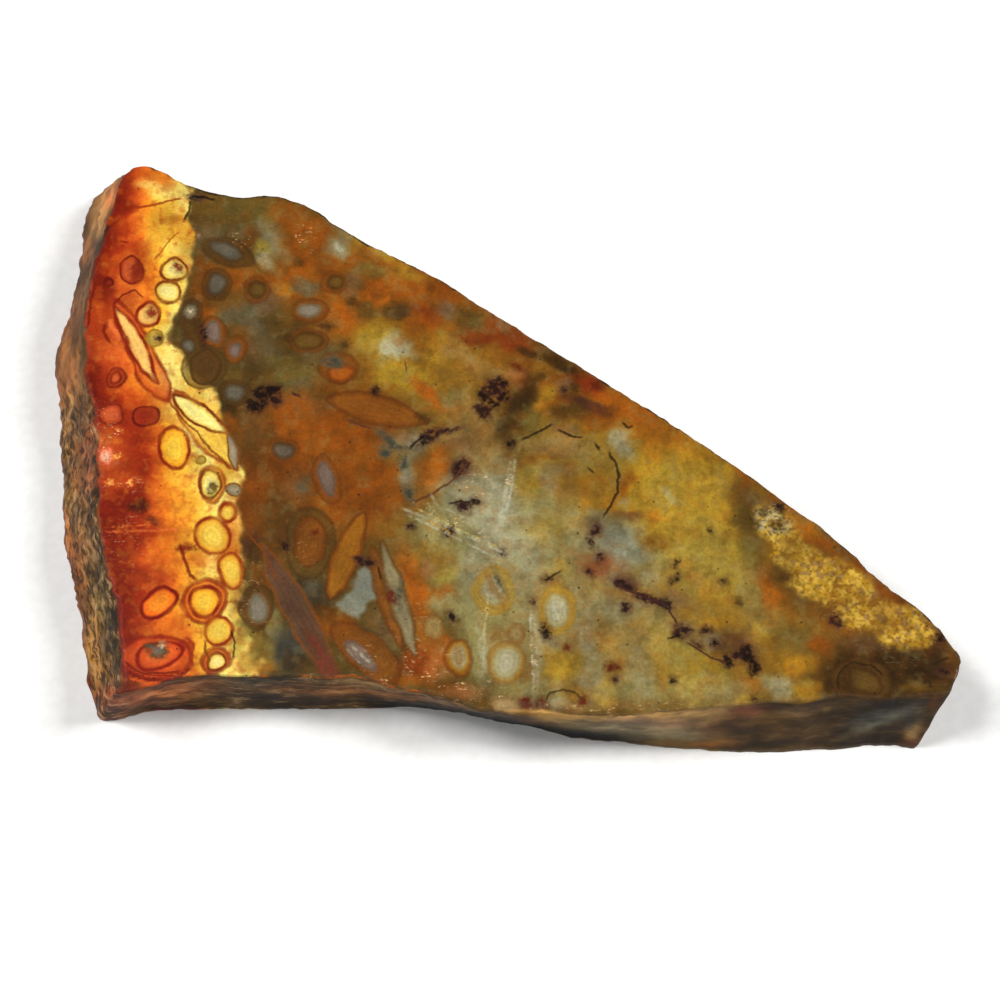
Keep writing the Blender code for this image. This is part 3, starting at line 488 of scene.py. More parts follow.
def band_ground(u, v):
    """Tints of the bright band, from maroon at the rind to cream at its inner edge, partly a painted glow."""
    rows = np.array(BAND_ROWS, float)
    warmth = np.zeros(len(u))
    stops = [np.interp(v, rows[:, 0], rows[:, 1 + k]) for k in range(len(WARM_TINTS))]
    for low, high in zip(stops, stops[1:]):
        warmth += np.clip((u - low) / np.maximum(high - low, 1), 0, 1)
    colours = np.array([tint(name) for name in WARM_TINTS])
    level = np.arange(len(WARM_TINTS))
    return np.column_stack([np.interp(warmth, level, colours[:, c]) for c in range(3)])


def field_ground(u, v):
    """Tints of the stone inside the band: large stains, then smaller ones over them."""
    colour = np.tile(tint("olive"), (len(u), 1))
    return lay_stains(colour, u, v, FIELD_STAINS)


# How each kind of root is tinted: core, edge, wall, half width of its wall in pixels, wobble of its outline.
KINDS = {
    "cream": ((250, 238, 160), (244, 210, 100), (140, 66, 18), 1.9, 0.03),
    "melon": ((250, 212, 130), (248, 184, 100), (150, 44, 12), 2.2, 0.03),
    "yolk": ((252, 212, 84), (250, 170, 44), (146, 44, 10), 2.4, 0.03),
    "straw": ((246, 212, 96), (234, 168, 54), (160, 62, 14), 2.2, 0.03),
    "ember": ((250, 160, 50), (236, 108, 30), (140, 34, 8), 3.0, 0.04),
    "flush": ((208, 108, 64), (188, 80, 42), (138, 46, 18), 1.3, 0.05),
    "coral": ((238, 122, 58), (206, 84, 34), (150, 40, 12), 2.4, 0.04),
    "crimson": ((150, 50, 26), (168, 60, 30), (118, 30, 12), 1.4, 0.05),
    "grey": ((122, 116, 104), (100, 90, 70), (92, 62, 28), 1.0, 0.05),
    "dove": ((162, 154, 138), (132, 120, 94), (140, 88, 36), 0.9, 0.05),
    "lilac": ((142, 126, 118), (118, 102, 88), (150, 88, 34), 1.2, 0.05),
    "umber": ((98, 70, 34), (108, 76, 34), (80, 54, 22), 1.2, 0.04),
    "olive": ((118, 92, 44), (108, 80, 36), (84, 58, 24), 1.2, 0.04),
    "rust": ((156, 98, 36), (146, 88, 30), (112, 62, 22), 1.2, 0.04),
    "tan": ((170, 146, 96), (160, 132, 80), (150, 104, 48), 0.8, 0.05),
    "pale": ((186, 182, 154), (178, 166, 120), (176, 134, 40), 2.0, 0.03),
    # Painted glints, not a root: small bright spots where the wet cut catches the lamps.
    "painted_glint": ((248, 178, 96), (240, 150, 72), (196, 84, 30), 0.5, 0.05),
    "gilt": ((184, 160, 84), (186, 152, 62), (172, 132, 40), 1.0, 0.04),
    "amber": ((178, 120, 38), (160, 100, 30), (112, 62, 20), 1.4, 0.05),
    "sky": ((158, 166, 160), (150, 156, 142), (70, 50, 36), 0.8, 0.10),
    "copper": ((184, 106, 34), (172, 94, 26), (116, 62, 20), 2.0, 0.05),
    "blush": ((136, 72, 54), (126, 76, 54), (120, 76, 52), 0.4, 0.14),
    "bone": ((158, 148, 116), (138, 120, 84), (116, 76, 32), 1.2, 0.04),
    "snow": ((220, 214, 190), (206, 196, 166), (190, 170, 130), 0.5, 0.12),
    "plum": ((48, 24, 26), (60, 34, 32), (96, 62, 50), 1.0, 0.16),
    "soot": ((24, 12, 12), (38, 22, 20), (84, 54, 40), 0.8, 0.16),
    "brick": ((112, 40, 20), (124, 56, 26), (104, 40, 20), 0.8, 0.12),
    "slate": ((76, 78, 70), (92, 90, 76), (112, 104, 80), 0.6, 0.12),
    # A painted highlight, not a root.
    "painted_highlight": ((250, 196, 166), (236, 130, 92), (206, 84, 50), 1.5, 0.10),
    "chip": ((178, 152, 108), (170, 144, 100), (150, 120, 76), 0.4, 0.10),
    "mauve": ((116, 84, 66), (122, 92, 66), (150, 86, 30), 1.4, 0.03),
}

# Outer rings of roots, and roots that hold others: middle, half length, half width, turn, kind. A spindle has
# pointed ends.
HUSKS = (
    ("spindle", 140, 348, 54, 12.5, 62, "coral"), ("oval", 151, 373, 30, 13.5, 60, "coral"),
    ("oval", 204, 368, 22, 21, 0, "olive"), ("oval", 235, 393, 14, 13, 0, "olive"),
    ("oval", 217, 284, 14.5, 16, 0, "umber"), ("oval", 213, 333, 13, 15.5, 0, "rust"),
    ("oval", 236, 349, 12, 13, 0, "rust"), ("oval", 256, 290, 13, 12, 0, "rust"),
    ("oval", 228, 252, 26, 13, 20, "umber"), ("oval", 310, 542, 23.5, 36, 0, "olive"),
    ("oval", 366, 653, 42, 19, 40, "rust"), ("oval", 256, 607, 16.5, 21.5, 0, "umber"),
    ("oval", 458.5, 658, 14, 18.5, 0, "amber"), ("oval", 493, 590, 20, 25, 0, "gilt"),
    ("oval", 204.5, 601, 21.5, 20.5, 0, "ember"), ("oval", 216, 660, 13, 12.5, 0, "ember"),
    ("oval", 157, 657, 35, 22, -5, "coral"), ("oval", 116.5, 378.5, 9.5, 9, 0, "crimson"),
    ("oval", 334, 283, 12, 11, 0, "rust"), ("oval", 308, 341, 19, 12, 0, "rust"),
    ("oval", 339, 368, 19, 15, 0, "rust"), ("oval", 327, 480, 24, 14, 72, "rust"),
    ("oval", 557, 611, 19, 24, 0, "gilt"), ("oval", 310, 311, 17, 12, 0, "rust"),
    ("oval", 283, 450, 15, 12, 0, "rust"), ("spindle", 387, 597, 56, 10, 74, "rust"),
    ("oval", 860, 681, 30, 23, 0, "umber"), ("oval", 191, 312, 11, 12, 0, "umber"),
    ("spindle", 206, 430, 52, 15, 50, "straw"), ("oval", 212, 485, 13, 17.5, 0, "straw"),
    ("oval", 506, 662, 19, 21, 0, "tan"),
)
ROOTS = (
    ("oval", 131, 270, 11, 14, 0, "flush"), ("oval", 108, 283, 4, 4, 0, "crimson"),
    ("oval", 174, 270.5, 13.5, 10.5, -8, "cream"), ("oval", 168.5, 293, 12.8, 9.6, 12, "cream"),
    ("oval", 148.5, 314, 12, 11.5, 0, "melon"), ("oval", 154, 338, 9.2, 8.5, 0, "gilt"),
    ("spindle", 136, 345, 45, 8, 62, "melon"), ("oval", 116.5, 378.5, 5.2, 5, 0, "flush"),
    ("oval", 205, 368, 16, 17, 0, "umber"), ("oval", 235, 393, 10.5, 9.5, 0, "grey"),
    ("oval", 217, 284, 9.5, 11.5, 0, "grey"), ("oval", 190.5, 312, 7.5, 8.5, 0, "grey"),
    ("oval", 212.5, 332, 9.5, 12.5, 0, "lilac"), ("oval", 236, 349, 8, 8, 0, "lilac"),
    ("oval", 188, 345, 8, 6, 0, "grey"), ("oval", 256, 289.5, 9, 8, 0, "olive"),
    ("oval", 226, 250.5, 17.5, 8, 22, "grey"), ("oval", 310, 311, 13, 8.5, 0, "dove"),
    ("oval", 308, 341, 15, 9, 0, "olive"), ("oval", 335, 283, 7.5, 7, 0, "olive"),
    ("oval", 341, 373, 12.5, 9, -15, "copper"), ("spindle", 376, 410, 55, 14, 13, "rust"),
    ("oval", 283, 450, 11, 8.5, 0, "grey"), ("oval", 326.5, 479, 19, 10, 70, "lilac"),
    ("oval", 310, 541, 15.5, 25, 0, "rust"), ("spindle", 346, 557, 47, 14, 110, "amber"),
    ("spindle", 398, 600, 60, 9.5, 73.5, "bone"), ("oval", 360, 655, 21, 10, 43, "lilac"),
    ("oval", 257.5, 609, 11, 15, 0, "dove"), ("spindle", 298, 612, 78, 14, 62, "mauve"),
    ("oval", 433.5, 627, 10, 11.5, 0, "tan"), ("oval", 458.5, 657, 9, 13, 0, "pale"),
    ("oval", 493, 590, 12.5, 17, -10, "pale"), ("oval", 506, 662, 16, 18, 0, "pale"),
    ("oval", 557, 611, 14, 18.5, 0, "pale"), ("oval", 517, 633, 8, 9, 0, "tan"),
    ("oval", 173.5, 448.5, 16, 20.5, -12, "yolk"), ("oval", 147, 417, 13, 10, 0, "crimson"),
    ("oval", 112, 414, 13, 10, 0, "flush"), ("spindle", 199, 414, 33, 9.5, 37, "cream"),
    ("oval", 202, 460, 4.4, 4, 0, "gilt"), ("oval", 210, 485, 10.5, 15, 0, "cream"),
    ("oval", 227, 512, 8, 9, 0, "straw"), ("oval", 211.5, 535.5, 19.5, 17, 50, "straw"),
    ("oval", 231, 571, 12.5, 17, 0, "straw"), ("oval", 159.5, 603, 19, 13, -30, "ember"),
    ("oval", 204.5, 601, 15.5, 14.5, 0, "yolk"), ("oval", 219, 630, 14, 14, 0, "straw"),
    ("oval", 216.5, 661, 9, 8.8, 0, "cream"), ("oval", 160, 655, 24, 13, -12, "coral"),
    ("spindle", 232.5, 451, 19, 5.5, 74, "dove"), ("oval", 234, 490, 8, 7, 20, "dove"),
    ("oval", 505, 706, 14, 7.5, 6, "chip"), ("oval", 864, 681, 18, 11, 35, "olive"),
    ("oval", 199, 236, 3, 3.4, 0, "dove"),
)
# Small bodies over the roots: cores, dark blots, pale chips, and painted glints and a painted highlight.
BLOTS = (
    ("oval", 177.5, 268.5, 3.2, 2.6, 20, "crimson"), ("oval", 151.5, 312, 4.6, 4.0, 30, "crimson"),
    ("oval", 159, 338.5, 2.2, 2.2, 0, "plum"), ("oval", 204, 335, 2.6, 8, -10, "soot"),
    ("oval", 190.5, 312, 1.8, 1.8, 0, "snow"), ("oval", 266, 392, 12, 8, -10, "soot"),
    ("oval", 255, 405, 11, 6, 10, "soot"), ("oval", 275, 399, 7, 6, 0, "plum"),
    ("oval", 212, 489, 3.8, 6.5, 15, "olive"), ("oval", 458.5, 657, 2.6, 7, 0, "tan"),
    ("oval", 494, 588, 2.4, 11, -28, "tan"), ("oval", 499, 580, 1.6, 8, -28, "slate"),
    ("oval", 314, 533, 2, 2, 0, "brick"), ("oval", 392, 596, 3.5, 8, -30, "brick"),
    ("oval", 400, 592, 2, 9, 0, "slate"), ("oval", 157, 650, 10, 6.5, 10, "grey"),
    ("oval", 160, 646, 4, 3, 20, "snow"), ("oval", 494, 388, 13, 7, -20, "plum"),
    ("oval", 500, 384, 7, 6, 0, "soot"), ("oval", 484, 397, 5, 5, 0, "soot"),
    ("oval", 505, 396, 5, 4, 0, "soot"), ("oval", 483, 412, 8, 6, 0, "plum"),
    ("oval", 494, 403, 6, 4, 0, "soot"), ("oval", 400, 313, 5, 5, 0, "umber"),
    ("oval", 461, 468, 6, 11, 30, "plum"), ("oval", 448, 532, 4.5, 5.5, 0, "plum"),
    ("oval", 463, 506, 7, 4, 20, "plum"), ("oval", 472, 502, 6, 2.2, 0, "soot"),
    ("oval", 430, 436, 10, 5.5, -22, "plum"), ("oval", 425, 440, 6, 4, -30, "soot"),
    ("oval", 447, 429, 9, 2.4, -12, "plum"), ("oval", 375, 391, 4.6, 3, 20, "soot"),
    ("oval", 510, 443, 4, 3, 0, "soot"), ("oval", 409, 494, 3, 8, -20, "slate"),
    ("oval", 385, 452, 4, 6, 0, "slate"), ("oval", 405, 463, 3, 6, 0, "slate"),
    ("oval", 388, 440, 13, 2.6, 40, "slate"), ("oval", 398, 447, 11, 2.4, 5, "slate"),
    ("oval", 453, 617, 4.5, 2.2, 30, "soot"), ("oval", 411, 526, 3.4, 2.2, 0, "plum"),
    ("oval", 502, 551, 2.6, 1.8, 0, "plum"), ("oval", 594.5, 529, 4, 5.5, 20, "plum"),
    ("oval", 590.5, 542, 2.4, 4.5, -20, "plum"), ("oval", 600, 556, 2.4, 3.6, 0, "plum"),
    ("oval", 590, 572, 3, 2, 20, "plum"), ("oval", 626.5, 606, 5, 4.2, 0, "plum"),
    ("oval", 624, 585, 10, 4.5, 25, "plum"), ("oval", 650, 598, 14, 3.4, 14, "plum"),
    ("oval", 665, 603, 6, 3.4, 20, "soot"), ("oval", 681, 631, 7.5, 5.6, 20, "plum"),
    ("oval", 706, 629.5, 4.2, 3.6, 0, "soot"), ("oval", 714.5, 642, 3, 3, 0, "soot"),
    ("oval", 728.5, 661, 5, 5, 0, "soot"), ("oval", 747, 655, 9, 6, 40, "soot"),
    ("oval", 753, 667, 7, 8, 0, "soot"), ("oval", 738, 655, 5, 4, 0, "plum"),
    ("oval", 699, 646, 3.6, 2, 40, "plum"), ("oval", 675.5, 563, 2.6, 2.4, 0, "soot"),
    ("oval", 676.5, 577, 2.2, 3.2, 0, "soot"), ("oval", 671.5, 580, 1.8, 1.8, 0, "soot"),
    ("oval", 709, 530, 1.7, 1.7, 0, "soot"), ("oval", 611, 667, 4.6, 3.2, 0, "brick"),
    ("oval", 616, 679, 2.6, 2, 0, "plum"), ("oval", 672.5, 679, 2.4, 3, 0, "soot"),
    ("oval", 547, 634, 3.2, 5, 20, "soot"), ("oval", 544, 629, 2, 3, 0, "soot"),
    ("oval", 567, 648, 2.4, 2.4, 0, "brick"), ("oval", 531.5, 601, 2.6, 1.6, 0, "plum"),
    ("oval", 546, 579, 4, 1.8, -10, "soot"), ("oval", 737, 601, 3, 3, 0, "umber"),
    ("oval", 722.5, 581, 3, 2, 0, "soot"), ("oval", 778.5, 507, 4.2, 3.6, 0, "soot"),
    ("oval", 776, 525, 5, 3, 0, "umber"), ("oval", 765, 514, 4, 2.6, 20, "umber"),
    ("oval", 836, 621, 5.5, 5, 0, "plum"), ("oval", 943, 671, 6, 3.6, 0, "plum"),
    ("oval", 940, 636, 3.2, 3, 0, "soot"), ("oval", 844, 678, 3, 7, 10, "umber"),
    ("oval", 582, 700, 3.2, 2.6, 0, "brick"), ("oval", 527, 703, 4, 5, 0, "brick"),
    ("oval", 542, 703, 3.2, 5.5, 0, "brick"), ("oval", 754, 698, 2.4, 1.6, 0, "soot"),
    ("oval", 299, 263, 2.2, 1.8, 0, "umber"), ("oval", 288, 338, 2.4, 2.2, 0, "umber"),
    ("oval", 345, 345, 2.4, 2.4, 0, "umber"), ("oval", 352, 302, 4, 2.4, 0, "umber"),
    ("oval", 326, 326, 5, 2, 10, "umber"), ("oval", 424, 419, 5, 2.4, 20, "umber"),
    # The blot at (106, 457) is a painted highlight.
    ("oval", 136, 271, 3.5, 8, 10, "crimson"), ("oval", 106, 457, 7, 9, 0, "painted_highlight"),
    ("oval", 117, 456, 5.5, 4, 30, "painted_glint"), ("oval", 111, 483, 5, 3.6, 20, "painted_glint"),
    ("oval", 130, 482, 5, 3, 10, "painted_glint"), ("oval", 117, 430, 6, 1.5, 15, "painted_glint"),
    ("oval", 365, 562, 8, 3.6, 10, "plum"), ("oval", 184, 549, 6, 2, 0, "crimson"),
    ("oval", 195, 197, 6, 2.8, 0, "plum"), ("oval", 333, 362, 9, 4.5, -10, "slate"),
    ("oval", 325, 664, 22, 7, 62, "blush"), ("oval", 316, 646, 12, 5, 62, "blush"),
    ("oval", 255, 553, 4, 7, 0, "umber"), ("oval", 787, 578, 3, 3, 0, "umber"),
    ("oval", 596, 385, 4, 2.4, 20, "brick"), ("oval", 563, 391, 2.2, 2.2, 0, "soot"),
    ("oval", 574, 386, 2, 3.4, 0, "umber"), ("oval", 540, 377, 5, 2.2, -20, "umber"),
    ("oval", 518, 366, 5, 1.8, 30, "brick"), ("oval", 284, 545, 2, 5, -20, "soot"),
)
SKY_PATCH = ((365, 564), (372, 570), (376, 586), (380, 597), (369, 604), (358, 619), (350, 614), (337, 604),
             (351, 592), (359, 576))

# Seams: thin lines through points, half width in pixels, tint.
SEAMS = (
    (((838, 690), (837, 674), (850, 662), (870, 664), (884, 677)), 0.8, "umber"),
    (((112, 226), (106, 230), (101, 239), (96, 250), (92, 264), (88, 277)), 1.3, "hide"),
    (((109, 317), (114, 328), (121, 341)), 1.8, "coral"),
    (((126, 668), (140, 678), (160, 682), (178, 678), (190, 668)), 1.4, "maroon"),
    (((124, 660), (140, 671), (162, 675), (182, 670)), 1.2, "maroon"),
    (((128, 676), (150, 686), (180, 684), (200, 676)), 1.2, "ember"),
    (((184, 636), (192, 644), (194, 656), (190, 668)), 1.6, "rust"),
    (((230, 628), (236, 644), (232, 660)), 0.8, "umber"),
    (((545, 701), (552, 693), (562, 690), (574, 693), (582, 700)), 0.9, "bronze"),
    (((96, 505), (104, 560), (113, 620), (119, 676)), 1.8, "toffee"),
    (((92, 478), (93, 492), (96, 508)), 1.4, "bronze"),
    (((106, 236), (98, 262), (92, 296), (87, 330)), 1.4, "maroon"),
    (((84, 345), (83, 380), (88, 420)), 1.2, "brick"),
    (((186, 200), (193, 196), (204, 196), (216, 200)), 1.3, "soot"),
    (((190, 199), (189, 209), (184, 222)), 1.2, "soot"),
    (((134, 206), (150, 205), (165, 202), (182, 200)), 0.8, "rust"),
    (((153, 261), (160, 251), (169, 242), (181, 231)), 0.6, "tangerine"),
    (((112, 305), (122, 296), (134, 291), (143, 298)), 0.7, "maroon"),
    (((119, 240), (129, 243)), 0.8, "maroon"), (((107, 322), (105, 332), (111, 344)), 1.8, "maroon"),
    (((594, 442), (600, 452)), 1.2, "hide"),
    (((607, 451), (614, 460), (618, 476), (617, 492), (611, 507), (603, 517)), 1.0, "hide"),
    (((521, 441), (532, 436), (541, 431), (553, 424)), 1.1, "hide"),
    (((557, 430), (570, 435), (584, 438)), 1.1, "hide"),
    (((620, 422), (628, 429), (634, 427)), 1.0, "hide"),
    (((346, 420), (360, 424), (371, 429)), 1.4, "clay"),
    (((411, 450), (416, 441), (426, 435)), 1.2, "soot"),
    (((414, 503), (430, 494), (446, 484), (458, 474), (470, 461)), 0.9, "clay"),
    (((448, 504), (458, 501), (470, 502)), 0.9, "soot"),
    (((545, 579), (553, 576), (562, 571)), 0.8, "hide"),
    (((612, 582), (630, 592), (650, 598), (668, 604)), 1.2, "plum"),
    (((668, 604), (668, 612), (676, 626)), 0.9, "plum"),
    (((668, 638), (676, 636), (683, 636)), 1.0, "soot"),
    (((686, 641), (697, 649), (708, 656), (727, 663)), 0.8, "plum"),
    (((377, 566), (381, 582)), 0.8, "hide"), (((932, 665), (950, 657)), 0.8, "umber"),
    (((179, 543), (184, 560), (190, 574), (198, 580)), 1.6, "maroon"),
    (((206, 638), (205, 650), (209, 662)), 1.2, "toffee"), (((587, 466), (595, 472)), 0.8, "hide"),
    (((404, 358), (406, 372)), 0.5, "clay"), (((660, 552), (664, 553)), 0.9, "hide"),
    (((290, 393), (302, 399)), 1.2, "plum"),
    (((168, 400), (184, 420), (206, 444), (232, 470)), 1.0, "toffee"),
    (((246, 530), (262, 548), (280, 580)), 1.0, "toffee"),
)
# Saw scratches through points, with half width in pixels and tint: real scratches, drawn pale as the painted
# sheen they catch.
SHEEN_SCRATCHES = (
    (((402, 508), (440, 523), (504, 553)), 1.3, "milk"),
    (((406, 514), (440, 530), (492, 556)), 0.9, "milk"),
    (((416, 508), (460, 530), (500, 548)), 0.7, "cream"),
    (((516, 458), (511, 490), (501, 530)), 1.2, "milk"),
    (((511, 460), (506, 490), (496, 534)), 1.5, "milk"),
    (((506, 480), (501, 505), (494, 528)), 0.7, "pearl"),
    (((488, 591), (485, 630), (483, 668)), 1.1, "milk"), (((484, 640), (479, 668)), 1.0, "pearl"),
    (((530, 608), (532, 650), (534, 692)), 1.2, "milk"),
    (((534, 612), (537, 650), (538, 690)), 0.9, "pearl"), (((428, 520), (452, 534)), 0.8, "yolk"),
    (((444, 508), (470, 520), (490, 526)), 0.6, "pearl"),
    (((351, 645), (362, 655), (371, 664)), 1.3, "milk"),
    (((346, 648), (356, 659), (364, 667)), 0.8, "pearl"),
    (((559, 597), (564, 608), (566, 620)), 1.1, "milk"),
    (((553, 600), (555, 612), (560, 622)), 0.8, "milk"),
    (((104, 527), (132, 526), (166, 523)), 0.8, "coral"),
    (((104, 532), (140, 531), (180, 529)), 1.0, "coral"),
    (((430, 493), (436, 503), (443, 512)), 1.4, "pearl"),
    (((488, 591), (487, 612), (483, 636)), 0.9, "cream"),
)


# Where painted glints are strewn over the cut: middle pixel, half lengths, turn clockwise in degrees and
# strength.
PAINTED_GLINT_PLACES = (
    (108, 440, 18, 20, 0, 1.0), (118, 485, 26, 10, 0, 1.0), (130, 540, 30, 30, 0, 0.35),
    (104, 415, 16, 14, 0, 0.6), (455, 520, 46, 8, 25, 1.0), (508, 492, 8, 40, 12, 1.0),
    (476, 482, 22, 16, 0, 0.9), (484, 612, 5, 30, 4, 0.8), (533, 650, 5, 44, -2, 0.8),
    (340, 684, 140, 8, 2, 1.0), (460, 690, 70, 16, 12, 1.0), (400, 664, 60, 20, 10, 0.5),
    (560, 708, 60, 6, 4, 0.6), (660, 706, 100, 5, -2, 0.6), (306, 238, 16, 16, 0, 0.7),
    (240, 240, 14, 10, 0, 0.6), (860, 620, 70, 24, 38, 0.25), (776, 522, 20, 18, 30, 0.8),
    (300, 560, 16, 30, 0, 0.3), (250, 600, 20, 60, 0, 0.35), (170, 220, 40, 40, 0, 0.2),
    (930, 640, 16, 8, 40, 0.4), (420, 640, 40, 40, 0, 0.4),
)


SPINDLE_FULLNESS = 0.85
# A mark's outline: strength of its threefold swing and of its noise, that noise's least size and its share
# of the mark's half width.
THREEFOLD, RAGGED, RAGGED_LEAST, RAGGED_SHARE = 0.7, 0.8, 3.0, 0.7
# Depth in pixels where no mark is, how far round a mark its wall can reach, and where its edge tint starts.
NO_MARK, WALL_REACH, EDGE_STARTS = -30.0, 14.0, 0.35
# Pixels beside a seam that it can touch, the distance where none is, and where its ends and sides fade.
SEAM_REACH, NO_SEAM = 8, 99.0
SEAM_TAPER, SEAM_SIDES = (-0.5, 4.0), (-5.0, -3.5)
PAINTED_GLINT_FADE = (-1.3, -0.5)

# Cloudy changes of tint: size in pixels, seed, tints with their shares at its high and its low parts, and how
# far from the middle they start.
FIELD_BLOTCHES = (
    (13, 121, ((1, "toffee", 0.15), (-1, "moss", 0.16)), 0.1),
    (8, 131, ((1, "tawny", 0.14), (-1, "bronze", 0.15)), 0.2),
    (9, 141, ((1, "ash", 0.2), (-1, "umber", 0.12)), 0.3),
)
BAND_BLOTCHES = (
    (10, 151, ((1, "rust", 0.22), (-1, "orange", 0.22)), 0.2),
    (7, 161, ((1, "rust", 0.3), (-1, "yolk", 0.2)), 0.35),
)
BLOTCH_FADE = 0.35
# How far, in pixels, the ground and the roots are pushed about, and the sizes of the noises that push them.
GROUND_PUSH, GROUND_WAVE, GROUND_NUDGE, GROUND_RIPPLE = 4.5, 26, 2.4, 9
ROOT_PUSH, ROOT_WAVE = 1.6, 16
# The grains near the tip: size, tints with the share of grains up to each, and their lightness.
GRAIN_SIZE, GRAIN_LIGHT = 4.6, 0.97
GRAIN_TINTS, GRAIN_SHARES = ("straw", "mustard", "ochre", "fawn"), (0.45, 0.7, 0.88)
# Where the grains are coarse and part milky: middle pixel, half lengths.
COARSE_GRAINS, COARSE_HALF = (772, 520), (26, 16)
BAND_FRAYS = (530, 600)
SKY_SHARE = 0.75
# Lengths of the front wall whose upper rim is stained, and where a fawn line along it is a painted highlight.
BRIGHT_RIM, PAINTED_HIGHLIGHT_RIM = (205, 480), (500, 770)


def depth_in_mark(u, v, form, middle_u, middle_v, long, short, turn, wobble):
    """Signed distance in pixels to a mark's outline, positive inside, and the share of the way out."""
    along, across = in_frame_of(u, v, middle_u, middle_v, turn)
    angle = np.arctan2(across / short, along / long)
    swing = 1 + wobble * (np.sin(2 * angle + middle_u) + THREEFOLD * np.sin(3 * angle + middle_v))
    ragged_size = max(RAGGED_LEAST, min(long, short) * RAGGED_SHARE)
    swing += wobble * RAGGED * cloud(u, v, ragged_size, int(middle_u))
    if form == "spindle":
        share = along / (long * swing)
        width = short * swing * np.clip(1 - share ** 2, 0, 1) ** SPINDLE_FULLNESS
        past = np.clip(np.abs(along) - long * swing, 0, None)
        depth = width - np.abs(across) - past
        return depth, np.abs(across) / np.maximum(width, 1.0)
    share = np.hypot(along / long, across / short) / swing
    radius = np.hypot(along, across) / np.maximum(share, 0.05)
    return (1 - share) * np.minimum(radius, min(long, short) * 1.6), share


def lay_marks(u, v, marks):
    """The deepest mark at each point: depth under its outline, its two tints and its wall's half width."""
    depth = np.full(len(u), NO_MARK)
    inside, wall, half = np.zeros((len(u), 3)), np.zeros((len(u), 3)), np.zeros(len(u))
    for form, middle_u, middle_v, long, short, turn, kind in marks:
        near = near_to(u, v, middle_u, middle_v, max(long, short) * 1.1 + WALL_REACH)
        core, edge, wall_tint = (kind_tint(kind, part) for part in range(3))
        half_width, wobble = KINDS[kind][3:]
        here, share = depth_in_mark(u[near], v[near], form, middle_u, middle_v, long, short, turn, wobble)
        won = here > depth[near]
        near, here, share = near[won], here[won], share[won]
        depth[near] = here
        inside[near] = core + (edge - core) * step(share, EDGE_STARTS, 1.0)[:, None]
        wall[near] = wall_tint
        half[near] = half_width
    return depth, inside, wall, half


def lay_seams(u, v, seams):
    """The nearest seam: pixels to its side, its tint, its half width and how much of it shows."""
    away, side = np.full(len(u), NO_SEAM), np.full(len(u), NO_SEAM)
    colour, half, show = np.zeros((len(u), 3)), np.ones(len(u)), np.zeros(len(u))
    for points, half_width, name in seams:
        points = np.array(points, float)
        low, high = points.min(axis=0) - SEAM_REACH, points.max(axis=0) + SEAM_REACH
        near = np.flatnonzero((u > low[0]) & (u < high[0]) & (v > low[1]) & (v < high[1]))
        pu, pv = u[near], v[near]
        length = np.linalg.norm(points[1:] - points[:-1], axis=1)
        passed = 0.0
        for (u0, v0), (u1, v1), size in zip(points, points[1:], length):
            du, dv = (u1 - u0) / size, (v1 - v0) / size
            along = (pu - u0) * du + (pv - v0) * dv
            off = (pv - v0) * du - (pu - u0) * dv
            here = np.hypot(off, along - np.clip(along, 0, size))
            won = here < away[near]
            index = near[won]
            away[index] = here[won]
            side[index] = np.where(off[won] < 0, -here[won], here[won])
            place = passed + np.clip(along[won], 0, size)
            ends = np.minimum(place, length.sum() - place)
            show[index] = step(ends, *SEAM_TAPER) * step(-here[won], *SEAM_SIDES)
            colour[index], half[index] = tint(name), half_width
            passed += size
    return side, colour, half, show


def mottle(u, v):
    """Light and dark of the stone's fine cloudiness, about 1 on average."""
    return 1 + 0.07 * clouds(u, v, 18, 31, 2) + 0.025 * clouds(u, v, 4.5, 41, 2)


def painted_glints(u, v):
    """How thickly painted glints lie at each point: the strongest of their places there."""
    most = np.zeros(len(u))
    for middle_u, middle_v, long, short, turn, strength in PAINTED_GLINT_PLACES:
        along, across = in_frame_of(u, v, middle_u, middle_v, turn)
        most = np.maximum(most, strength * step(-np.hypot(along / long, across / short), *PAINTED_GLINT_FADE))
    return most


def blotched(colour, u, v, blotches):
    """Colours moved to one tint where a noise is high and to another where it is low, noise after noise."""
    for size, seed, pairs, clear in blotches:
        noise = clouds(u, v, size, seed, 3)
        for sign, name, share in pairs:
            colour = tinted(colour, name, share * step(sign * noise, clear, clear + BLOTCH_FADE))
    return colour


def grain_patch(u, v, colour):
    """The pale patch near the tip: close grains of several tints with darker gaps."""
    depth = inside_outline(u, v, GRAIN_PATCH) + 5 * clouds(u, v, 14, 51, 2)
    first, second, number = grains(u + 1.4 * cloud(u, v, 5, 3), v, GRAIN_SIZE, 61)
    chosen = np.searchsorted(GRAIN_SHARES, number, side="right")
    patch = np.array([tint(name) for name in GRAIN_TINTS])[chosen] * GRAIN_LIGHT
    gap = step(second - first, 0.0, 0.22)
    away = np.hypot((u - COARSE_GRAINS[0]) / COARSE_HALF[0], (v - COARSE_GRAINS[1]) / COARSE_HALF[1])
    coarse = step(-away, -1.2, -0.7)
    patch = tinted(patch, "milk", 0.6 * coarse * (number > 0.4))
    patch = patch * ((0.84 - 0.36 * coarse) + (0.25 + 0.36 * coarse) * gap)[:, None]
    loose = clouds(u, v, 24, 71, 2)
    cover = step(depth, -6, 5) * (0.6 + 0.35 * step(loose, -0.7, 0.3))
    return colour + (patch - colour) * cover[:, None]


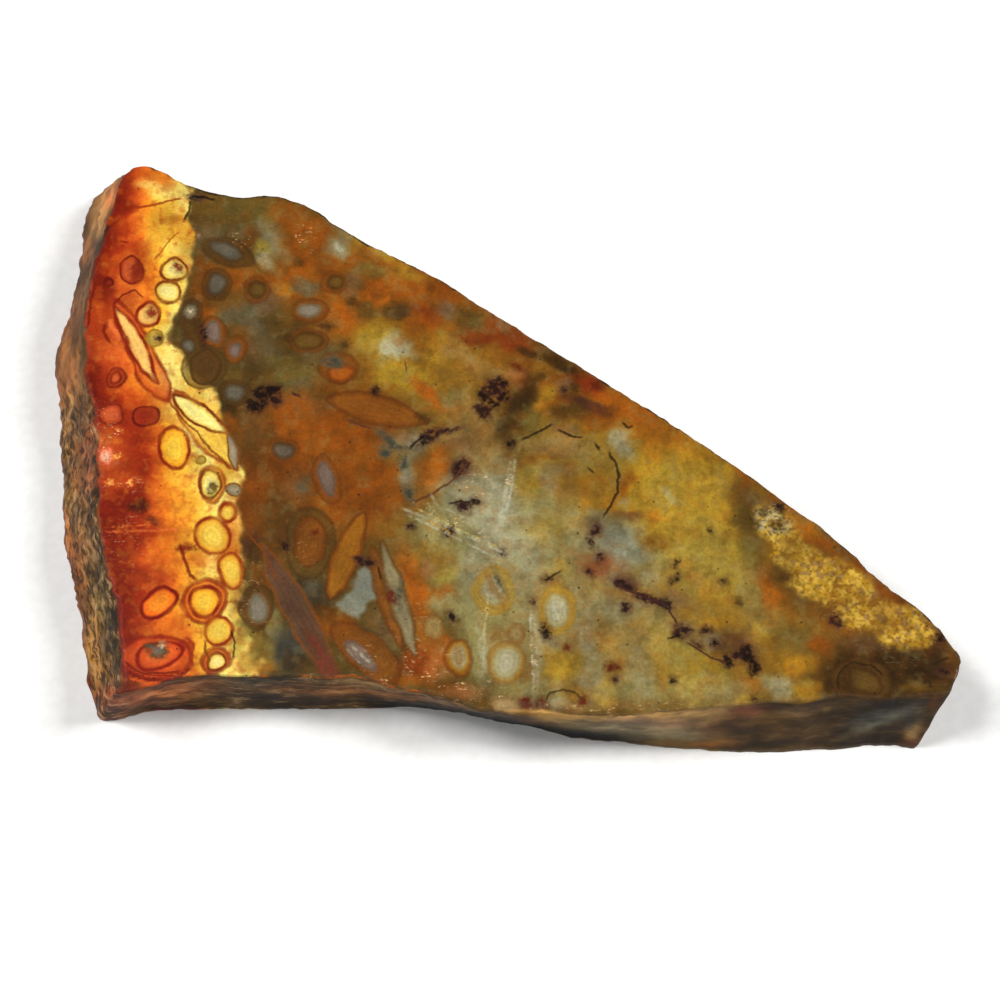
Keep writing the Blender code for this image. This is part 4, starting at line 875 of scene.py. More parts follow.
def rim_seams():
    """The lines along the upper rims: a dark stain at the back and the tip, a bright stain over the front
    wall, and a fawn painted highlight further along it.
    """
    front = tuple(top for top, _ in FRONT_WALL)
    return ((tuple(BACK_WALL), 1.8, "umber"), (tuple(TIP_WALL), 1.6, "umber"),
            (tuple(p for p in front if BRIGHT_RIM[0] < p[0] < BRIGHT_RIM[1]), 1.0, "tangerine"),
            (tuple(p for p in front if PAINTED_HIGHLIGHT_RIM[0] < p[0] < PAINTED_HIGHLIGHT_RIM[1]), 0.8, "fawn"))


def pushed(u, v, seeds):
    """The ground's places pushed about: a wide wave and a small ripple added to each of the two."""
    wave = [GROUND_PUSH * clouds(u, v, GROUND_WAVE, seed) for seed in seeds[:2]]
    ripple = [GROUND_NUDGE * clouds(u, v, GROUND_RIPPLE, seed, 3) for seed in seeds[2:]]
    return u + wave[0] + ripple[0], v + wave[1] + ripple[1]


def marks(u, v):
    """Everything that colours the cut at each point: its ground, roots and their husks, blots and lines."""
    warp_u, warp_v = pushed(u, v, (3, 11, 5, 13))
    field = grain_patch(u, v, blotched(field_ground(warp_u, warp_v), u, v, FIELD_BLOTCHES))
    band = lay_stains(band_ground(warp_u, warp_v), warp_u, warp_v, BAND_STAINS)
    band = blotched(band, u, v, BAND_BLOTCHES)
    rows = np.array(BAND_ROWS, float)
    end = np.interp(v, rows[:, 0], rows[:, -1])
    soft = BAND_EDGE_SOFT + 5 * step(v, *BAND_FRAYS)
    inner = step(warp_u * 0.5 + u * 0.5 + soft * clouds(u, v, 11, 29, 2) - end, -soft, soft)
    ground = band + (field - band) * inner[:, None]
    root_u = u + ROOT_PUSH * clouds(u, v, ROOT_WAVE, 21, 2)
    root_v = v + ROOT_PUSH * clouds(u, v, ROOT_WAVE, 23, 2)
    sky_depth = inside_outline(root_u, root_v, SKY_PATCH) + ROOT_PUSH * clouds(u, v, 7, 27, 2)
    ground = ground + (kind_tint("sky", 0) - ground) * step(sky_depth, -2.5, 2.5)[:, None] * SKY_SHARE
    return {"ground": ground, "inner": inner, "husk": lay_marks(root_u, root_v, HUSKS),
            "root": lay_marks(root_u, root_v, ROOTS), "blot": lay_marks(root_u, root_v, BLOTS),
            "seam": lay_seams(root_u, root_v, SEAMS + rim_seams()), "sheen_scratch": lay_seams(u, v, SHEEN_SCRATCHES)}


# Flake scars of the front edge: middle pixel, half width, and what they add to the rim's width and drop.
FLAKES = (
    ((448, 700), 0.0034, 0.0008, 0.0007),
    ((528, 715), 0.0060, 0.0019, 0.0012),
    ((803, 704), 0.0018, 0.0003, 0.0005),
)
# The undercut of the front wall: middle pixel, half width, depth and the share of the height it takes.
UNDERCUT = ((480, 718), 0.0100, 0.0009, 0.16)
RELIEF_ALONG, RELIEF_UP = 0.0026, 0.0014
RIDGE_SHARE, RIDGE_CREST = 0.55, 1.6
RELIEF_FADE_START, RELIEF_FADE_SPAN = 0.12, 0.76
RELIEF_SEAM = 0.001
RIM_NOISE_SIZE, RIM_LEAST = 0.0021, 0.6
CHIP_SIZE, CHIP_DEPTH = 0.0009, 0.00010
MIDDLE_PIXEL = (430, 480)
TIP_PIXEL = (961, 665)

# Spacing of the points round the walls and over the upper cut, and over the lower cut.
RING_STEP, UNDER_STEP = 0.000225, 0.00076
RING_LEVELS = np.array([0, 0.06, 0.14, 0.24, 0.35, 0.46, 0.57, 0.67,
                        0.76, 0.84, 0.9, 0.945, 0.975, 0.992, 1.0])
OUTLINE_BLUR, BLUR_REACH = 2.0, 6
ROW_HEIGHT, LATTICE_CLEARANCE = 0.866, 0.45
MILLIMETRES = 1000.0
SHARP_EDGE = math.radians(50.0)


def sight_slope(u, v):
    """x and y travelled along the line of sight through a pixel, per metre of climb."""
    across, down = (u - FRAME_CENTRE) / FOCAL_PIXELS, (v - FRAME_CENTRE) / FOCAL_PIXELS
    climb = -math.sin(VIEW_ELEVATION) - down * math.cos(VIEW_ELEVATION)
    ahead = math.cos(VIEW_ELEVATION) - down * math.sin(VIEW_ELEVATION)
    return np.stack([across / climb, ahead / climb], -1)


def eye_distance():
    """Distance from the eye to the table at the frame's centre that makes the stone LENGTH long."""
    tip = sight_slope(*TIP_PIXEL)[0]
    rind = sight_slope(*min(foot for _, foot in RIND_WALL))[0]
    return (LENGTH - tip * THICKNESS) / ((rind - tip) * math.sin(VIEW_ELEVATION))


EYE_DISTANCE = eye_distance()
EYE = np.array([0.0, -EYE_DISTANCE * math.cos(VIEW_ELEVATION), EYE_DISTANCE * math.sin(VIEW_ELEVATION)])


def points_at(pixels, height):
    """The points seen at pixels on the level plane at that height, from the stone's middle."""
    pixels = np.array(pixels, float)
    return EYE[:2] + sight_slope(pixels[..., 0], pixels[..., 1]) * (height - EYE[2]) - STONE_MIDDLE


def pixels_of(x, y, z):
    """The pixel at which each point is seen: its place across and up the view, over its distance."""
    away_x, away_y, away_z = x + STONE_MIDDLE[0] - EYE[0], y + STONE_MIDDLE[1] - EYE[1], z - EYE[2]
    ahead = away_y * math.cos(VIEW_ELEVATION) - away_z * math.sin(VIEW_ELEVATION)
    up = away_y * math.sin(VIEW_ELEVATION) + away_z * math.cos(VIEW_ELEVATION)
    return FRAME_CENTRE + FOCAL_PIXELS * away_x / ahead, FRAME_CENTRE - FOCAL_PIXELS * up / ahead


def wall_in_view(pixels, name):
    """Upper edge, foot and finish of a wall whose edge and foot both show."""
    top = points_at([edge for edge, _ in pixels], THICKNESS)
    foot = points_at([low for _, low in pixels], 0.0)
    return top, foot, np.tile(FINISH[name], (len(pixels), 1))


def wall_out_of_view(pixels, set_in, name):
    """Upper edge, foot and finish of a wall whose foot is hidden: it is set in towards the middle."""
    top = points_at(pixels, THICKNESS)
    way = points_at(MIDDLE_PIXEL, 0.0) - top
    foot = top + way * set_in / np.linalg.norm(way, axis=1)[:, None]
    return top, foot, np.tile(FINISH[name], (len(pixels), 1))


def wall_points():
    """Upper edge, foot and finish at each read-off point of the four walls, anticlockwise."""
    walls = (wall_in_view(FRONT_WALL, "front"), wall_out_of_view(TIP_WALL, TIP_SET_IN, "tip"),
             wall_out_of_view(BACK_WALL, BACK_SET_IN, "back"), wall_in_view(RIND_WALL, "rind"))
    return [np.concatenate(part) for part in zip(*walls)]


def blurred(loop, spread):
    """A closed loop of rows, each the average of its neighbours weighted by a bell curve."""
    offsets = np.arange(-BLUR_REACH, BLUR_REACH + 1)
    weights = np.exp(-0.5 * (offsets / spread) ** 2)
    return sum(np.roll(loop, k, axis=0) * w for k, w in zip(offsets, weights)) / weights.sum()


def outline():
    """The walls in even steps: upper edge, foot and finish, by distance round the upper edge."""
    tops, feet, finish = wall_points()
    closed = np.vstack((tops, tops[:1]))
    round_at = np.concatenate(([0.0], np.cumsum(np.linalg.norm(np.diff(closed, axis=0), axis=1))))
    place = np.linspace(0, round_at[-1], int(round_at[-1] / RING_STEP), endpoint=False)
    rows = np.hstack((tops, feet, finish))
    rows = np.vstack((rows, rows[:1]))
    dense = np.column_stack([np.interp(place, round_at, column) for column in rows.T])
    dense = blurred(dense, OUTLINE_BLUR)
    return dense[:, :2], dense[:, 2:4], dense[:, 4:], place


def inward_normals(loop):
    """Unit vectors square to an anticlockwise loop, pointing into it."""
    along = np.roll(loop, -1, axis=0) - np.roll(loop, 1, axis=0)
    square = np.column_stack((-along[:, 1], along[:, 0]))
    return square / np.linalg.norm(square, axis=1)[:, None]


def swell(distance, half_width):
    """1 in the middle of a scar, falling smoothly to 0 at its half width."""
    return np.clip(1.0 - (distance / half_width) ** 2, 0.0, 1.0) ** 2


def rim_wear(tops, finish):
    """Width and drop of the worn rim at each place: the wall's own, and more at the flake scars."""
    width, drop = finish[:, 1].copy(), finish[:, 2].copy()
    for pixel, half_width, more_width, more_drop in FLAKES:
        scar = swell(np.linalg.norm(tops - points_at(pixel, THICKNESS), axis=1), half_width)
        width += more_width * scar
        drop += more_drop * scar
    return width, drop


def wall_relief(ring, height, place):
    """0 to 1 over the wall: ridges drawn out along it, mixed with lumps."""
    along = np.tile(place, (len(height), 1))
    up = np.broadcast_to(height * RELIEF_ALONG / RELIEF_UP, along.shape)
    ridges = 1.0 - np.abs(clouds(along, up, RELIEF_ALONG, 81, 3)) * RIDGE_CREST
    lumps = 0.5 + 0.5 * clouds(ring[..., 0], ring[..., 1], RELIEF_ALONG, 91, 3)
    return np.clip(RIDGE_SHARE * ridges + (1 - RIDGE_SHARE) * lumps, 0, 1)


def wall_rings():
    """Points (levels, places, 3): the ruled wall from foot to rim, dented by skin, rim and scars."""
    tops, feet, finish, place = outline()
    inward = inward_normals(tops)
    rim_width, rim_drop = rim_wear(tops, finish)
    pixel, half_width, depth, share = UNDERCUT
    hollow = depth * swell(np.linalg.norm(feet - points_at(pixel, 0.0), axis=1), half_width)
    level = RING_LEVELS[:, None]
    ring = feet + (tops - feet) * level[:, :, None]
    height = level * THICKNESS
    ends = np.minimum(place, place[-1] - place)
    relief = wall_relief(ring, height, place)
    fade = np.sin(np.pi * (RELIEF_FADE_START + level * RELIEF_FADE_SPAN)) ** 0.5
    rough = finish[:, 0] * (1 - relief) * fade * step(ends, 0.0, RELIEF_SEAM)
    worn = RIM_LEAST + (1 - RIM_LEAST) * cloud(tops[:, 0], tops[:, 1], RIM_NOISE_SIZE, 95)
    rest = np.clip((THICKNESS - height) / rim_drop, 0, 1)
    rim = rim_width * worn * (1 - np.sqrt(rest * (2 - rest)))
    chips = CHIP_DEPTH * np.clip(clouds(ring[..., 0], ring[..., 1], CHIP_SIZE, 97, 2), 0, 1)
    under = hollow * np.clip(1 - level / share, 0, 1)
    ring = ring + inward * (rough + rim + chips + under)[..., None]
    return np.dstack((ring, np.broadcast_to(height, ring.shape[:2])))


def lattice_inside(loop, spacing):
    """Points of a level lattice of even triangles that lie inside a loop, clear of its edge."""
    low, high = loop.min(axis=0), loop.max(axis=0)
    columns = np.arange(low[0], high[0], spacing)
    x, y = np.meshgrid(columns, np.arange(low[1], high[1], spacing * ROW_HEIGHT))
    x[1::2] += spacing / 2
    x, y = x.ravel(), y.ravel()
    keep = inside_outline(x, y, loop[::4]) > spacing * LATTICE_CLEARANCE
    return np.column_stack((x[keep], y[keep]))


def flat_face(loop, spacing):
    """Lattice points inside a loop, and the triangles that join them and the loop."""
    inner = lattice_inside(loop, spacing)
    count = len(loop)
    points = np.concatenate((loop, inner))
    rim = [(i, (i + 1) % count) for i in range(count)]
    flat = [Vector(p) for p in (points * MILLIMETRES).tolist()]
    made = delaunay_2d_cdt(flat, rim, [list(range(count))], 1, 1e-7)
    if len(made[0]) != len(points):
        raise ValueError("the face's outline crosses itself")
    return inner, np.array(made[2])


def slab_mesh():
    """One closed mesh: wall rings, the upper face's fine lattice and the lower face's coarser one."""
    rings = wall_rings()
    levels, count = rings.shape[:2]
    wall = rings.reshape(-1, 3)
    first = np.arange((levels - 1) * count).reshape(levels - 1, count)
    beside = np.roll(first, -1, axis=1)
    quads = np.stack((first, beside, beside + count, first + count), -1).reshape(-1, 4)
    upper, upper_faces = flat_face(rings[-1, :, :2], RING_STEP)
    lower, lower_faces = flat_face(rings[0, :, :2], UNDER_STEP)
    top_start, upper_start = (levels - 1) * count, len(wall)
    lower_start = upper_start + len(upper)
    upper_faces = np.where(upper_faces < count, upper_faces + top_start, upper_faces - count + upper_start)
    lower_faces = np.where(lower_faces < count, lower_faces, lower_faces - count + lower_start)[:, ::-1]
    points = np.concatenate((wall, np.column_stack((upper, np.full(len(upper), THICKNESS))),
                             np.column_stack((lower, np.zeros(len(lower))))))
    mesh = bpy.data.meshes.new("agate_face")
    mesh.from_pydata(points, [], quads.tolist() + upper_faces.tolist() + lower_faces.tolist())
    mesh.shade_smooth()
    mesh.set_sharp_from_angle(angle=SHARP_EDGE)
    return mesh, points, levels, count


def linear(colour):
    """Picture tints turned into light: the standard curve of a screen, undone."""
    colour = np.clip(colour, 0, 1)
    return np.where(colour <= 0.04045, colour / 12.92, ((colour + 0.055) / 1.055) ** 2.4)


def give_colour(mesh, name, colour, extra):
    """Stores a tint and one more value at each vertex."""
    layer = mesh.color_attributes.new(name, "FLOAT_COLOR", "POINT")
    layer.data.foreach_set("color", np.column_stack((linear(colour), extra)).astype(np.float32).ravel())


def give_value(mesh, name, value):
    """Stores one number at each vertex."""
    mesh.attributes.new(name, "FLOAT", "POINT").data.foreach_set("value", value.astype(np.float32))


# Stains of the rind and the front wall, as for the ground, and one strip of painted shadow along the front
# wall's foot.
WALL_STAINS = (
    (104, 212, 16, 40, 10, "clay", 0.5), (98, 214, 10, 26, 10, "buff", 0.8),
    (106, 190, 14, 22, 20, "buff", 0.9), (104, 200, 16, 30, 16, "tawny", 0.4),
    (88, 252, 8, 14, 0, "flesh", 0.5), (74, 404, 20, 36, 0, "flesh", 0.4),
    (82, 545, 14, 36, 0, "flesh", 0.35), (98, 222, 12, 20, 14, "buff", 0.3),
    (111, 196, 4, 14, 24, "flesh", 0.9), (102, 244, 10, 8, -30, "hide", 0.6),
    (80, 290, 12, 44, 10, "clay", 0.5), (56, 362, 5, 26, 0, "hide", 0.6),
    (66, 350, 14, 50, 0, "flesh", 0.5), (84, 400, 8, 50, 0, "bronze", 0.15),
    (70, 408, 4, 20, 0, "buff", 0.6), (80, 470, 12, 30, 0, "flesh", 0.6),
    (92, 456, 9, 44, 0, "russet", 0.6), (70, 520, 10, 60, 0, "bronze", 0.1),
    (88, 580, 14, 80, 4, "umber", 0.1), (96, 640, 14, 60, 0, "moss", 0.5),
    (112, 640, 7, 60, 0, "bronze", 0.7), (104, 712, 22, 14, -10, "clay", 0.9),
    (110, 702, 16, 18, 0, "hide", 0.7), (112, 700, 14, 12, 0, "brick", 0.35),
    (140, 703, 26, 10, 0, "clay", 0.7), (166, 690, 56, 10, -4, "russet", 0.85),
    (170, 706, 34, 5, -4, "clay", 0.6), (190, 692, 44, 9, -2, "fawn", 0.3),
    (240, 694, 50, 12, 0, "hide", 0.4), (262, 684, 34, 4, 2, "slate", 0.5),
    (300, 700, 50, 8, 0, "hide", 0.7), (330, 690, 60, 6, 2, "bark", 0.7),
    (420, 703, 44, 6, 6, "hide", 0.5), (384, 688, 40, 4, 10, "buff", 0.6),
    (400, 696, 30, 4, 4, "bark", 0.7), (450, 698, 26, 7, 5, "mauve", 0.9),
    (462, 692, 6, 3, 0, "cream", 0.6), (506, 706, 15, 7, 0, "buff", 1.0),
    # The hide strip at (500, 718) along the front wall's foot is painted shadow.
    (500, 718, 60, 4, 6, "hide", 0.9), (534, 705, 14, 7, 0, "clay", 0.9),
    (556, 711, 40, 4, 2, "fawn", 0.8), (620, 712, 70, 6, 2, "fawn", 0.85),
    (690, 722, 40, 9, -4, "fawn", 0.5), (600, 722, 60, 7, 4, "fawn", 0.5),
    (660, 724, 60, 6, 2, "mauve", 0.8), (620, 730, 60, 8, 4, "pewter", 0.8),
    (600, 740, 50, 4, 8, "hide", 0.8), (690, 736, 30, 6, 0, "pewter", 0.7),
    (700, 712, 40, 7, -6, "buff", 0.7), (722, 728, 26, 7, -14, "clay", 0.35),
    (716, 744, 24, 4, 0, "tawny", 0.4), (760, 736, 40, 10, 0, "hide", 0.2),
    (752, 710, 24, 6, -8, "clay", 0.9), (780, 722, 30, 7, -6, "umber", 0.35),
    (800, 710, 26, 6, -8, "mauve", 0.5), (830, 714, 18, 7, -20, "bronze", 0.7),
    (824, 711, 5, 3, 0, "buff", 0.8), (846, 724, 8, 3, 0, "buff", 0.7),
    (800, 742, 60, 5, -2, "umber", 0.7), (870, 722, 46, 17, -12, "hide", 0.6),
    (880, 718, 30, 8, -14, "slate", 0.7), (890, 712, 40, 9, -20, "slate", 0.8),
    (866, 728, 36, 3, -22, "ash", 0.35), (890, 738, 30, 6, -6, "umber", 0.8),
    (900, 702, 20, 5, -10, "hide", 0.8), (918, 716, 8, 20, 25, "slate", 0.5),
    (912, 729, 12, 8, -50, "buff", 0.9), (908, 722, 8, 6, -40, "slate", 0.5),
    (926, 706, 8, 8, 0, "hide", 0.6), (908, 744, 12, 5, 0, "clay", 0.9),
    (938, 704, 10, 10, -40, "hide", 0.7), (942, 690, 8, 20, 30, "tawny", 0.5),
)

# Levels of the wall between which its skin fades into the cut's colour, and how much higher on the rind.
SKIN_TOP, SKIN_FADE, RIND_FADE_MORE, RIND_TOP_MORE = 0.985, 0.04, 0.03, 0.014
SKIN_FOOT = (-0.02, 0.04)
RIND_COLOUR = (164.0, 104.0, 52.0)
# Places across and down the picture, in pixels, between which the look of the walls changes.
RIND_TO_FRONT, RIND_LEANS_FROM, RIND_LEAN = (112, 122), 680, 0.3
RIND_SKIN_ENDS, RIND_LIGHT_ENDS, TIP_DARKENS = (112, 126), (125, 150), (780, 830)
PALE_START, PALE_END = (470, 520), (660, 700)
LIT_RIM_START, LIT_RIM_END = (300, 360), (740, 790)
THIN_START, THIN_END = (350, 400), (590, 650)
DEEPEST_FOOT, DEEPEST_HALF = 480, 40
SMOOTH_START, SMOOTH_LEANS_FROM, SMOOTH_LEAN = (440, 540), 700, 0.2
BARK_STARTS, BARK_FULL, BARK_ENDS = (225, 285), (360, 420), (112, 140)
# Lightness of the wall's tint, partly its own tone and partly painted light: the rind, less past it, less at
# the tip, more where the front is pale; and painted light and shade along its rim.
WALL_LIGHT, FRONT_LESS, TIP_LESS, PALE_MORE = 1.22, 0.05, 0.08, 0.18
RIM_PAINTED_LIGHT, RIM_PAINTED_SHADE, RIM_LEVELS = 0.25, 0.15, (0.7, 0.95)
# The painted shadow at the foot: how high it reaches, how much higher at its deepest, and its darkness.
FOOT_HEIGHT, FOOT_MORE, FOOT_SOLID, FOOT_SHADOW_DARKNESS = 0.48, 0.36, 0.4, 0.94
# Coarseness of the bark down the rind, and of the smooth front.
BARK_TOP, BARK_MORE, BARK_MOST, BARK_LESS, FRONT_COARSE = 0.04, 0.30, 0.66, 0.25, 0.15
# Under the rim the roots lean this way by this many pixels, and wander by as many as this.
LEAN_ACROSS, LEAN_DOWN, WANDER, WANDER_SIZE = 9, -8, 10, 0.006


def wall_ground(u, v):
    """Tints of the rind and of the front wall."""
    front = step(u - RIND_LEAN * (v - RIND_LEANS_FROM), *RIND_TO_FRONT)[:, None]
    rind = np.array(RIND_COLOUR) / 255
    colour = rind + (tint("bronze") * 0.75 + tint("fawn") * 0.15 - rind) * front
    return lay_stains(colour, u + 3 * clouds(u, v, 16, 101), v + 2 * clouds(u, v, 16, 103), WALL_STAINS)


def wall_light(u, level):
    """How light the wall's tint is made by its place along the picture, partly its own tone and partly
    painted light, with painted light and shade along its rim.
    """
    pale = stretch(u, PALE_START, PALE_END)
    lit = WALL_LIGHT - FRONT_LESS * step(u, *RIND_LIGHT_ENDS) - TIP_LESS * step(u, *TIP_DARKENS)
    lit = lit + PALE_MORE * pale
    edge = RIM_PAINTED_LIGHT * stretch(u, LIT_RIM_START, LIT_RIM_END) - RIM_PAINTED_SHADE
    return lit * (1 + edge * step(level, *RIM_LEVELS))


def foot_shade(u, level):
    """Where painted shadow lies: 1 at the foot of the front wall where it is thin and lies in its own shadow,
    0 above.
    """
    height = FOOT_HEIGHT + FOOT_MORE * np.exp(-((u - DEEPEST_FOOT) / DEEPEST_HALF) ** 2)
    return stretch(u, THIN_START, THIN_END) * (1 - step(level, FOOT_SOLID * height, height))


def bark_coarseness(u, v, back):
    """How coarse the wall's skin is: barky down the rind, smooth in front, half as smooth at the back."""
    smooth = step(u - SMOOTH_LEAN * (v - SMOOTH_LEANS_FROM), *SMOOTH_START)
    smooth = smooth + (0.5 - smooth) * back
    bark = BARK_TOP + BARK_MORE * step(v, *BARK_STARTS) + BARK_MOST * step(v, *BARK_FULL)
    return (bark - BARK_LESS * step(u, *BARK_ENDS)) * (1 - smooth) + FRONT_COARSE * smooth


def out_of_view(count):
    """1 round the back and the tip, 0 round the front and the rind, by place in the ring."""
    tops = outline()[0]
    front_end = points_at(FRONT_WALL[-1][0], THICKNESS)
    rind_start = points_at(RIND_WALL[0][0], THICKNESS)
    first = int(np.argmin(np.linalg.norm(tops - front_end, axis=1)))
    last = int(np.argmin(np.linalg.norm(tops - rind_start, axis=1)))
    place = np.arange(count)
    return step(place, first - 4, first + 8) * (1 - step(place, last - 12, last + 4))


def paint_walls(mesh, points, levels, count, ground):
    """Stores the walls' tint, with its painted light and shadow, and their skin, dullness and coarseness;
    ground is the cut's colour carried down them.
    """
    on_wall = slice(0, levels * count)
    seen_u, seen_v = pixels_of(*points.T)
    level, skin, back, dull = np.zeros((4, len(points)))
    level[on_wall] = np.repeat(RING_LEVELS, count)
    dull[on_wall] = level[on_wall] > 0
    back[on_wall] = np.tile(out_of_view(count), levels)
    on_rind = 1 - step(seen_u[on_wall], *RIND_SKIN_ENDS)
    fade_start = SKIN_TOP - SKIN_FADE + RIND_FADE_MORE * on_rind
    under_rim = 1 - step(level[on_wall], fade_start, SKIN_TOP + RIND_TOP_MORE * on_rind)
    skin[on_wall] = under_rim * step(level[on_wall], *SKIN_FOOT)
    wall = wall_ground(seen_u, seen_v)
    plain = ground * 0.62 + tint("bark") * 0.2
    wall = wall + (plain - wall) * back[:, None]
    # Painted light and shade: the walls' tint lightened and darkened along them and along their rim, partly
    # as their own tone.
    wall = wall * wall_light(seen_u, level)[:, None]
    # Painted shadow: the foot of the front wall's thin part is darkened.
    shaded = foot_shade(seen_u, level)
    wall = wall * (1 - FOOT_SHADOW_DARKNESS * shaded)[:, None]
    give_colour(mesh, "wall_ground", wall, np.ones(len(points)))
    give_value(mesh, "skin", skin)
    give_value(mesh, "dull", dull)
    give_value(mesh, "coarse", bark_coarseness(seen_u, seen_v, back) * (1 - shaded))


def paint_slab(mesh, points, levels, count):
    """Works out every mark at every vertex and stores them for the finish to draw."""
    x, y, z = points.T
    face_u, face_v = pixels_of(x, y, np.full(len(z), THICKNESS))
    # Below the rim the roots lean and shift, so that the lower cut shows other sections of them.
    sunk = 1 - z / THICKNESS
    face_u = face_u + sunk * (LEAN_ACROSS + WANDER * clouds(x, y, WANDER_SIZE, 111))
    face_v = face_v + sunk * (LEAN_DOWN + WANDER * clouds(x, y, WANDER_SIZE, 113))
    found = marks(face_u, face_v)
    light = mottle(face_u, face_v)[:, None]
    give_colour(mesh, "ground", found["ground"] * light, np.ones(len(points)))
    paint_walls(mesh, points, levels, count, found["ground"])
    # How thickly painted glints lie at each vertex.
    give_value(mesh, "painted_glints", painted_glints(face_u, face_v))
    give_value(mesh, "inner", found["inner"])
    for name in ("husk", "root", "blot"):
        depth, inside, wall_tint, half = found[name]
        give_colour(mesh, name + "_inside", inside * light, depth)
        give_colour(mesh, name + "_wall", wall_tint, half)
    for name in ("seam", "sheen_scratch"):
        side, colour, half, show = found[name]
        side = side if name == "seam" else np.abs(side)
        give_colour(mesh, name, colour, side)
        give_value(mesh, name + "_half", half)
        give_value(mesh, name + "_show", show)


class Flow:
    """A shader socket in sums: +, - and * with numbers or other flows add Math nodes."""

    def __init__(self, finish, socket):
        self.finish, self.socket = finish, socket

    def _math(self, operation, first, second):
        return self.finish.node("ShaderNodeMath", {"operation": operation}, {0: first, 1: second})

    def __add__(self, other):
        return self._math("ADD", self, other)

    __radd__ = __add__

    def __sub__(self, other):
        return self._math("SUBTRACT", self, other)

    def __rsub__(self, other):
        return self._math("SUBTRACT", other, self)

    def __mul__(self, other):
        return self._math("MULTIPLY", self, other)

    __rmul__ = __mul__

    def __abs__(self):
        return self._math("ABSOLUTE", self, 0.0)


class Finish:
    """One material. Its methods add nodes and give back their sockets as flows."""

    def __init__(self, name):
        self.material = bpy.data.materials.new(name)
        self.material.use_nodes = True
        self.tree = self.material.node_tree
        self.shader = self.tree.nodes["Principled BSDF"]
        self.place = self.node("ShaderNodeTexCoord", {}, {}, "Object")

    def node(self, kind, settings=None, sockets=None, output=0):
        """Any node: its settings are set first, then the values or links of its sockets."""
        made = self.tree.nodes.new(kind)
        for name, value in (settings or {}).items():
            setattr(made, name, value)
        for name, value in (sockets or {}).items():
            self.feed(made.inputs[name], value)
        return Flow(self, made.outputs[output])

    def feed(self, socket, value):
        """Links a flow to a socket, or sets the socket's own value."""
        if isinstance(value, Flow):
            self.tree.links.new(value.socket, socket)
        else:
            socket.default_value = value

    def stored(self, name, output="Fac"):
        """A value kept at the mesh's vertices."""
        return self.node("ShaderNodeAttribute", {"attribute_name": name}, {}, output)

    def rise(self, value, low, high, top=1.0):
        """0 below low, top above high, smooth between."""
        sockets = {"Value": value, "From Min": low, "From Max": high, "To Min": 0.0, "To Max": top}
        return self.node("ShaderNodeMapRange", {"interpolation_type": "SMOOTHSTEP"}, sockets, "Result")

    def blend(self, share, first, second, way="MIX"):
        """Colour between two colours."""
        sockets = {0: share, 6: first, 7: second}
        return self.node("ShaderNodeMix", {"data_type": "RGBA", "blend_type": way}, sockets, 2)

    def noise(self, scale, detail=2.0, roughness=0.5):
        """Noise with that many features per metre."""
        sockets = {"Vector": self.place, "Scale": scale, "Detail": detail, "Roughness": roughness}
        return self.node("ShaderNodeTexNoise", {}, sockets, "Fac")

    def drawn_noise(self, scales, detail=2.0, roughness=0.5):
        """Noise with its own number of features per metre along x, y and z."""
        place = self.node("ShaderNodeVectorMath", {"operation": "MULTIPLY"}, {0: self.place, 1: scales})
        sockets = {"Vector": place, "Scale": 1.0, "Detail": detail, "Roughness": roughness}
        return self.node("ShaderNodeTexNoise", {}, sockets, "Fac")

    def shade(self, colour, strength):
        """A colour made lighter or darker."""
        grey = self.node("ShaderNodeCombineColor", {}, {0: strength, 1: strength, 2: strength})
        return self.blend(1.0, colour, grey, "MULTIPLY")

    def sine(self, angle):
        """The sine of an angle in radians."""
        return self.node("ShaderNodeMath", {"operation": "SINE"}, {0: angle})

    def bump(self, height, strength, distance, under=None):
        """A normal bent by a height; under is a bent normal that it goes over."""
        sockets = {"Strength": strength, "Distance": distance, "Height": height}
        if under is not None:
            sockets["Normal"] = under
        return self.node("ShaderNodeBump", {}, sockets, "Normal")

    def set(self, **sockets):
        """Values or links of the shader's own sockets."""
        for name, value in sockets.items():
            self.feed(self.shader.inputs[name.replace("_", " ")], value)


# Noises of the finish, in features per metre.
FRAY, BREAKS, WALL_GAPS, GROWTH, BLOT_HOLES, LINE_GAPS = 3200.0, 2600.0, 420.0, 700.0, 1700.0, 1400.0
FINE_CLOUD, SPECKS, SPECK_GROUPS, PAINTED_GLINT_GROUPS, GRIT = 3400.0, 900.0, 620.0, 900.0, 5200.0
PAINTED_GLINT_STRETCH, BARK, LAYERS = (2100.0, 4200.0, 2100.0), (760.0, 760.0, 1900.0), (420.0, 420.0, 1700.0)
WISPS = (240.0, 240.0, 460.0)
# Marks of the finish: name, share of their inside and of their wall that shows, and whether they have rings.
MARK_LAYERS = (("husk", 0.7, 0.8, True), ("root", 0.85, 1.0, True), ("blot", 0.9, 0.3, False))
RING_SPACING, RING_STRENGTH = 1.25, 0.06
SPECK_COLOUR, PAINTED_GLINT_COLOUR = (0.05, 0.025, 0.012, 1.0), (1.0, 0.72, 0.42, 1.0)
CREVICE_COLOUR, CREST_COLOUR = (0.040, 0.024, 0.012, 1.0), (0.50, 0.33, 0.18, 1.0)
WARM_LIGHT, DEEPENING = (1.0, 0.99, 0.93, 1.0), 1.2


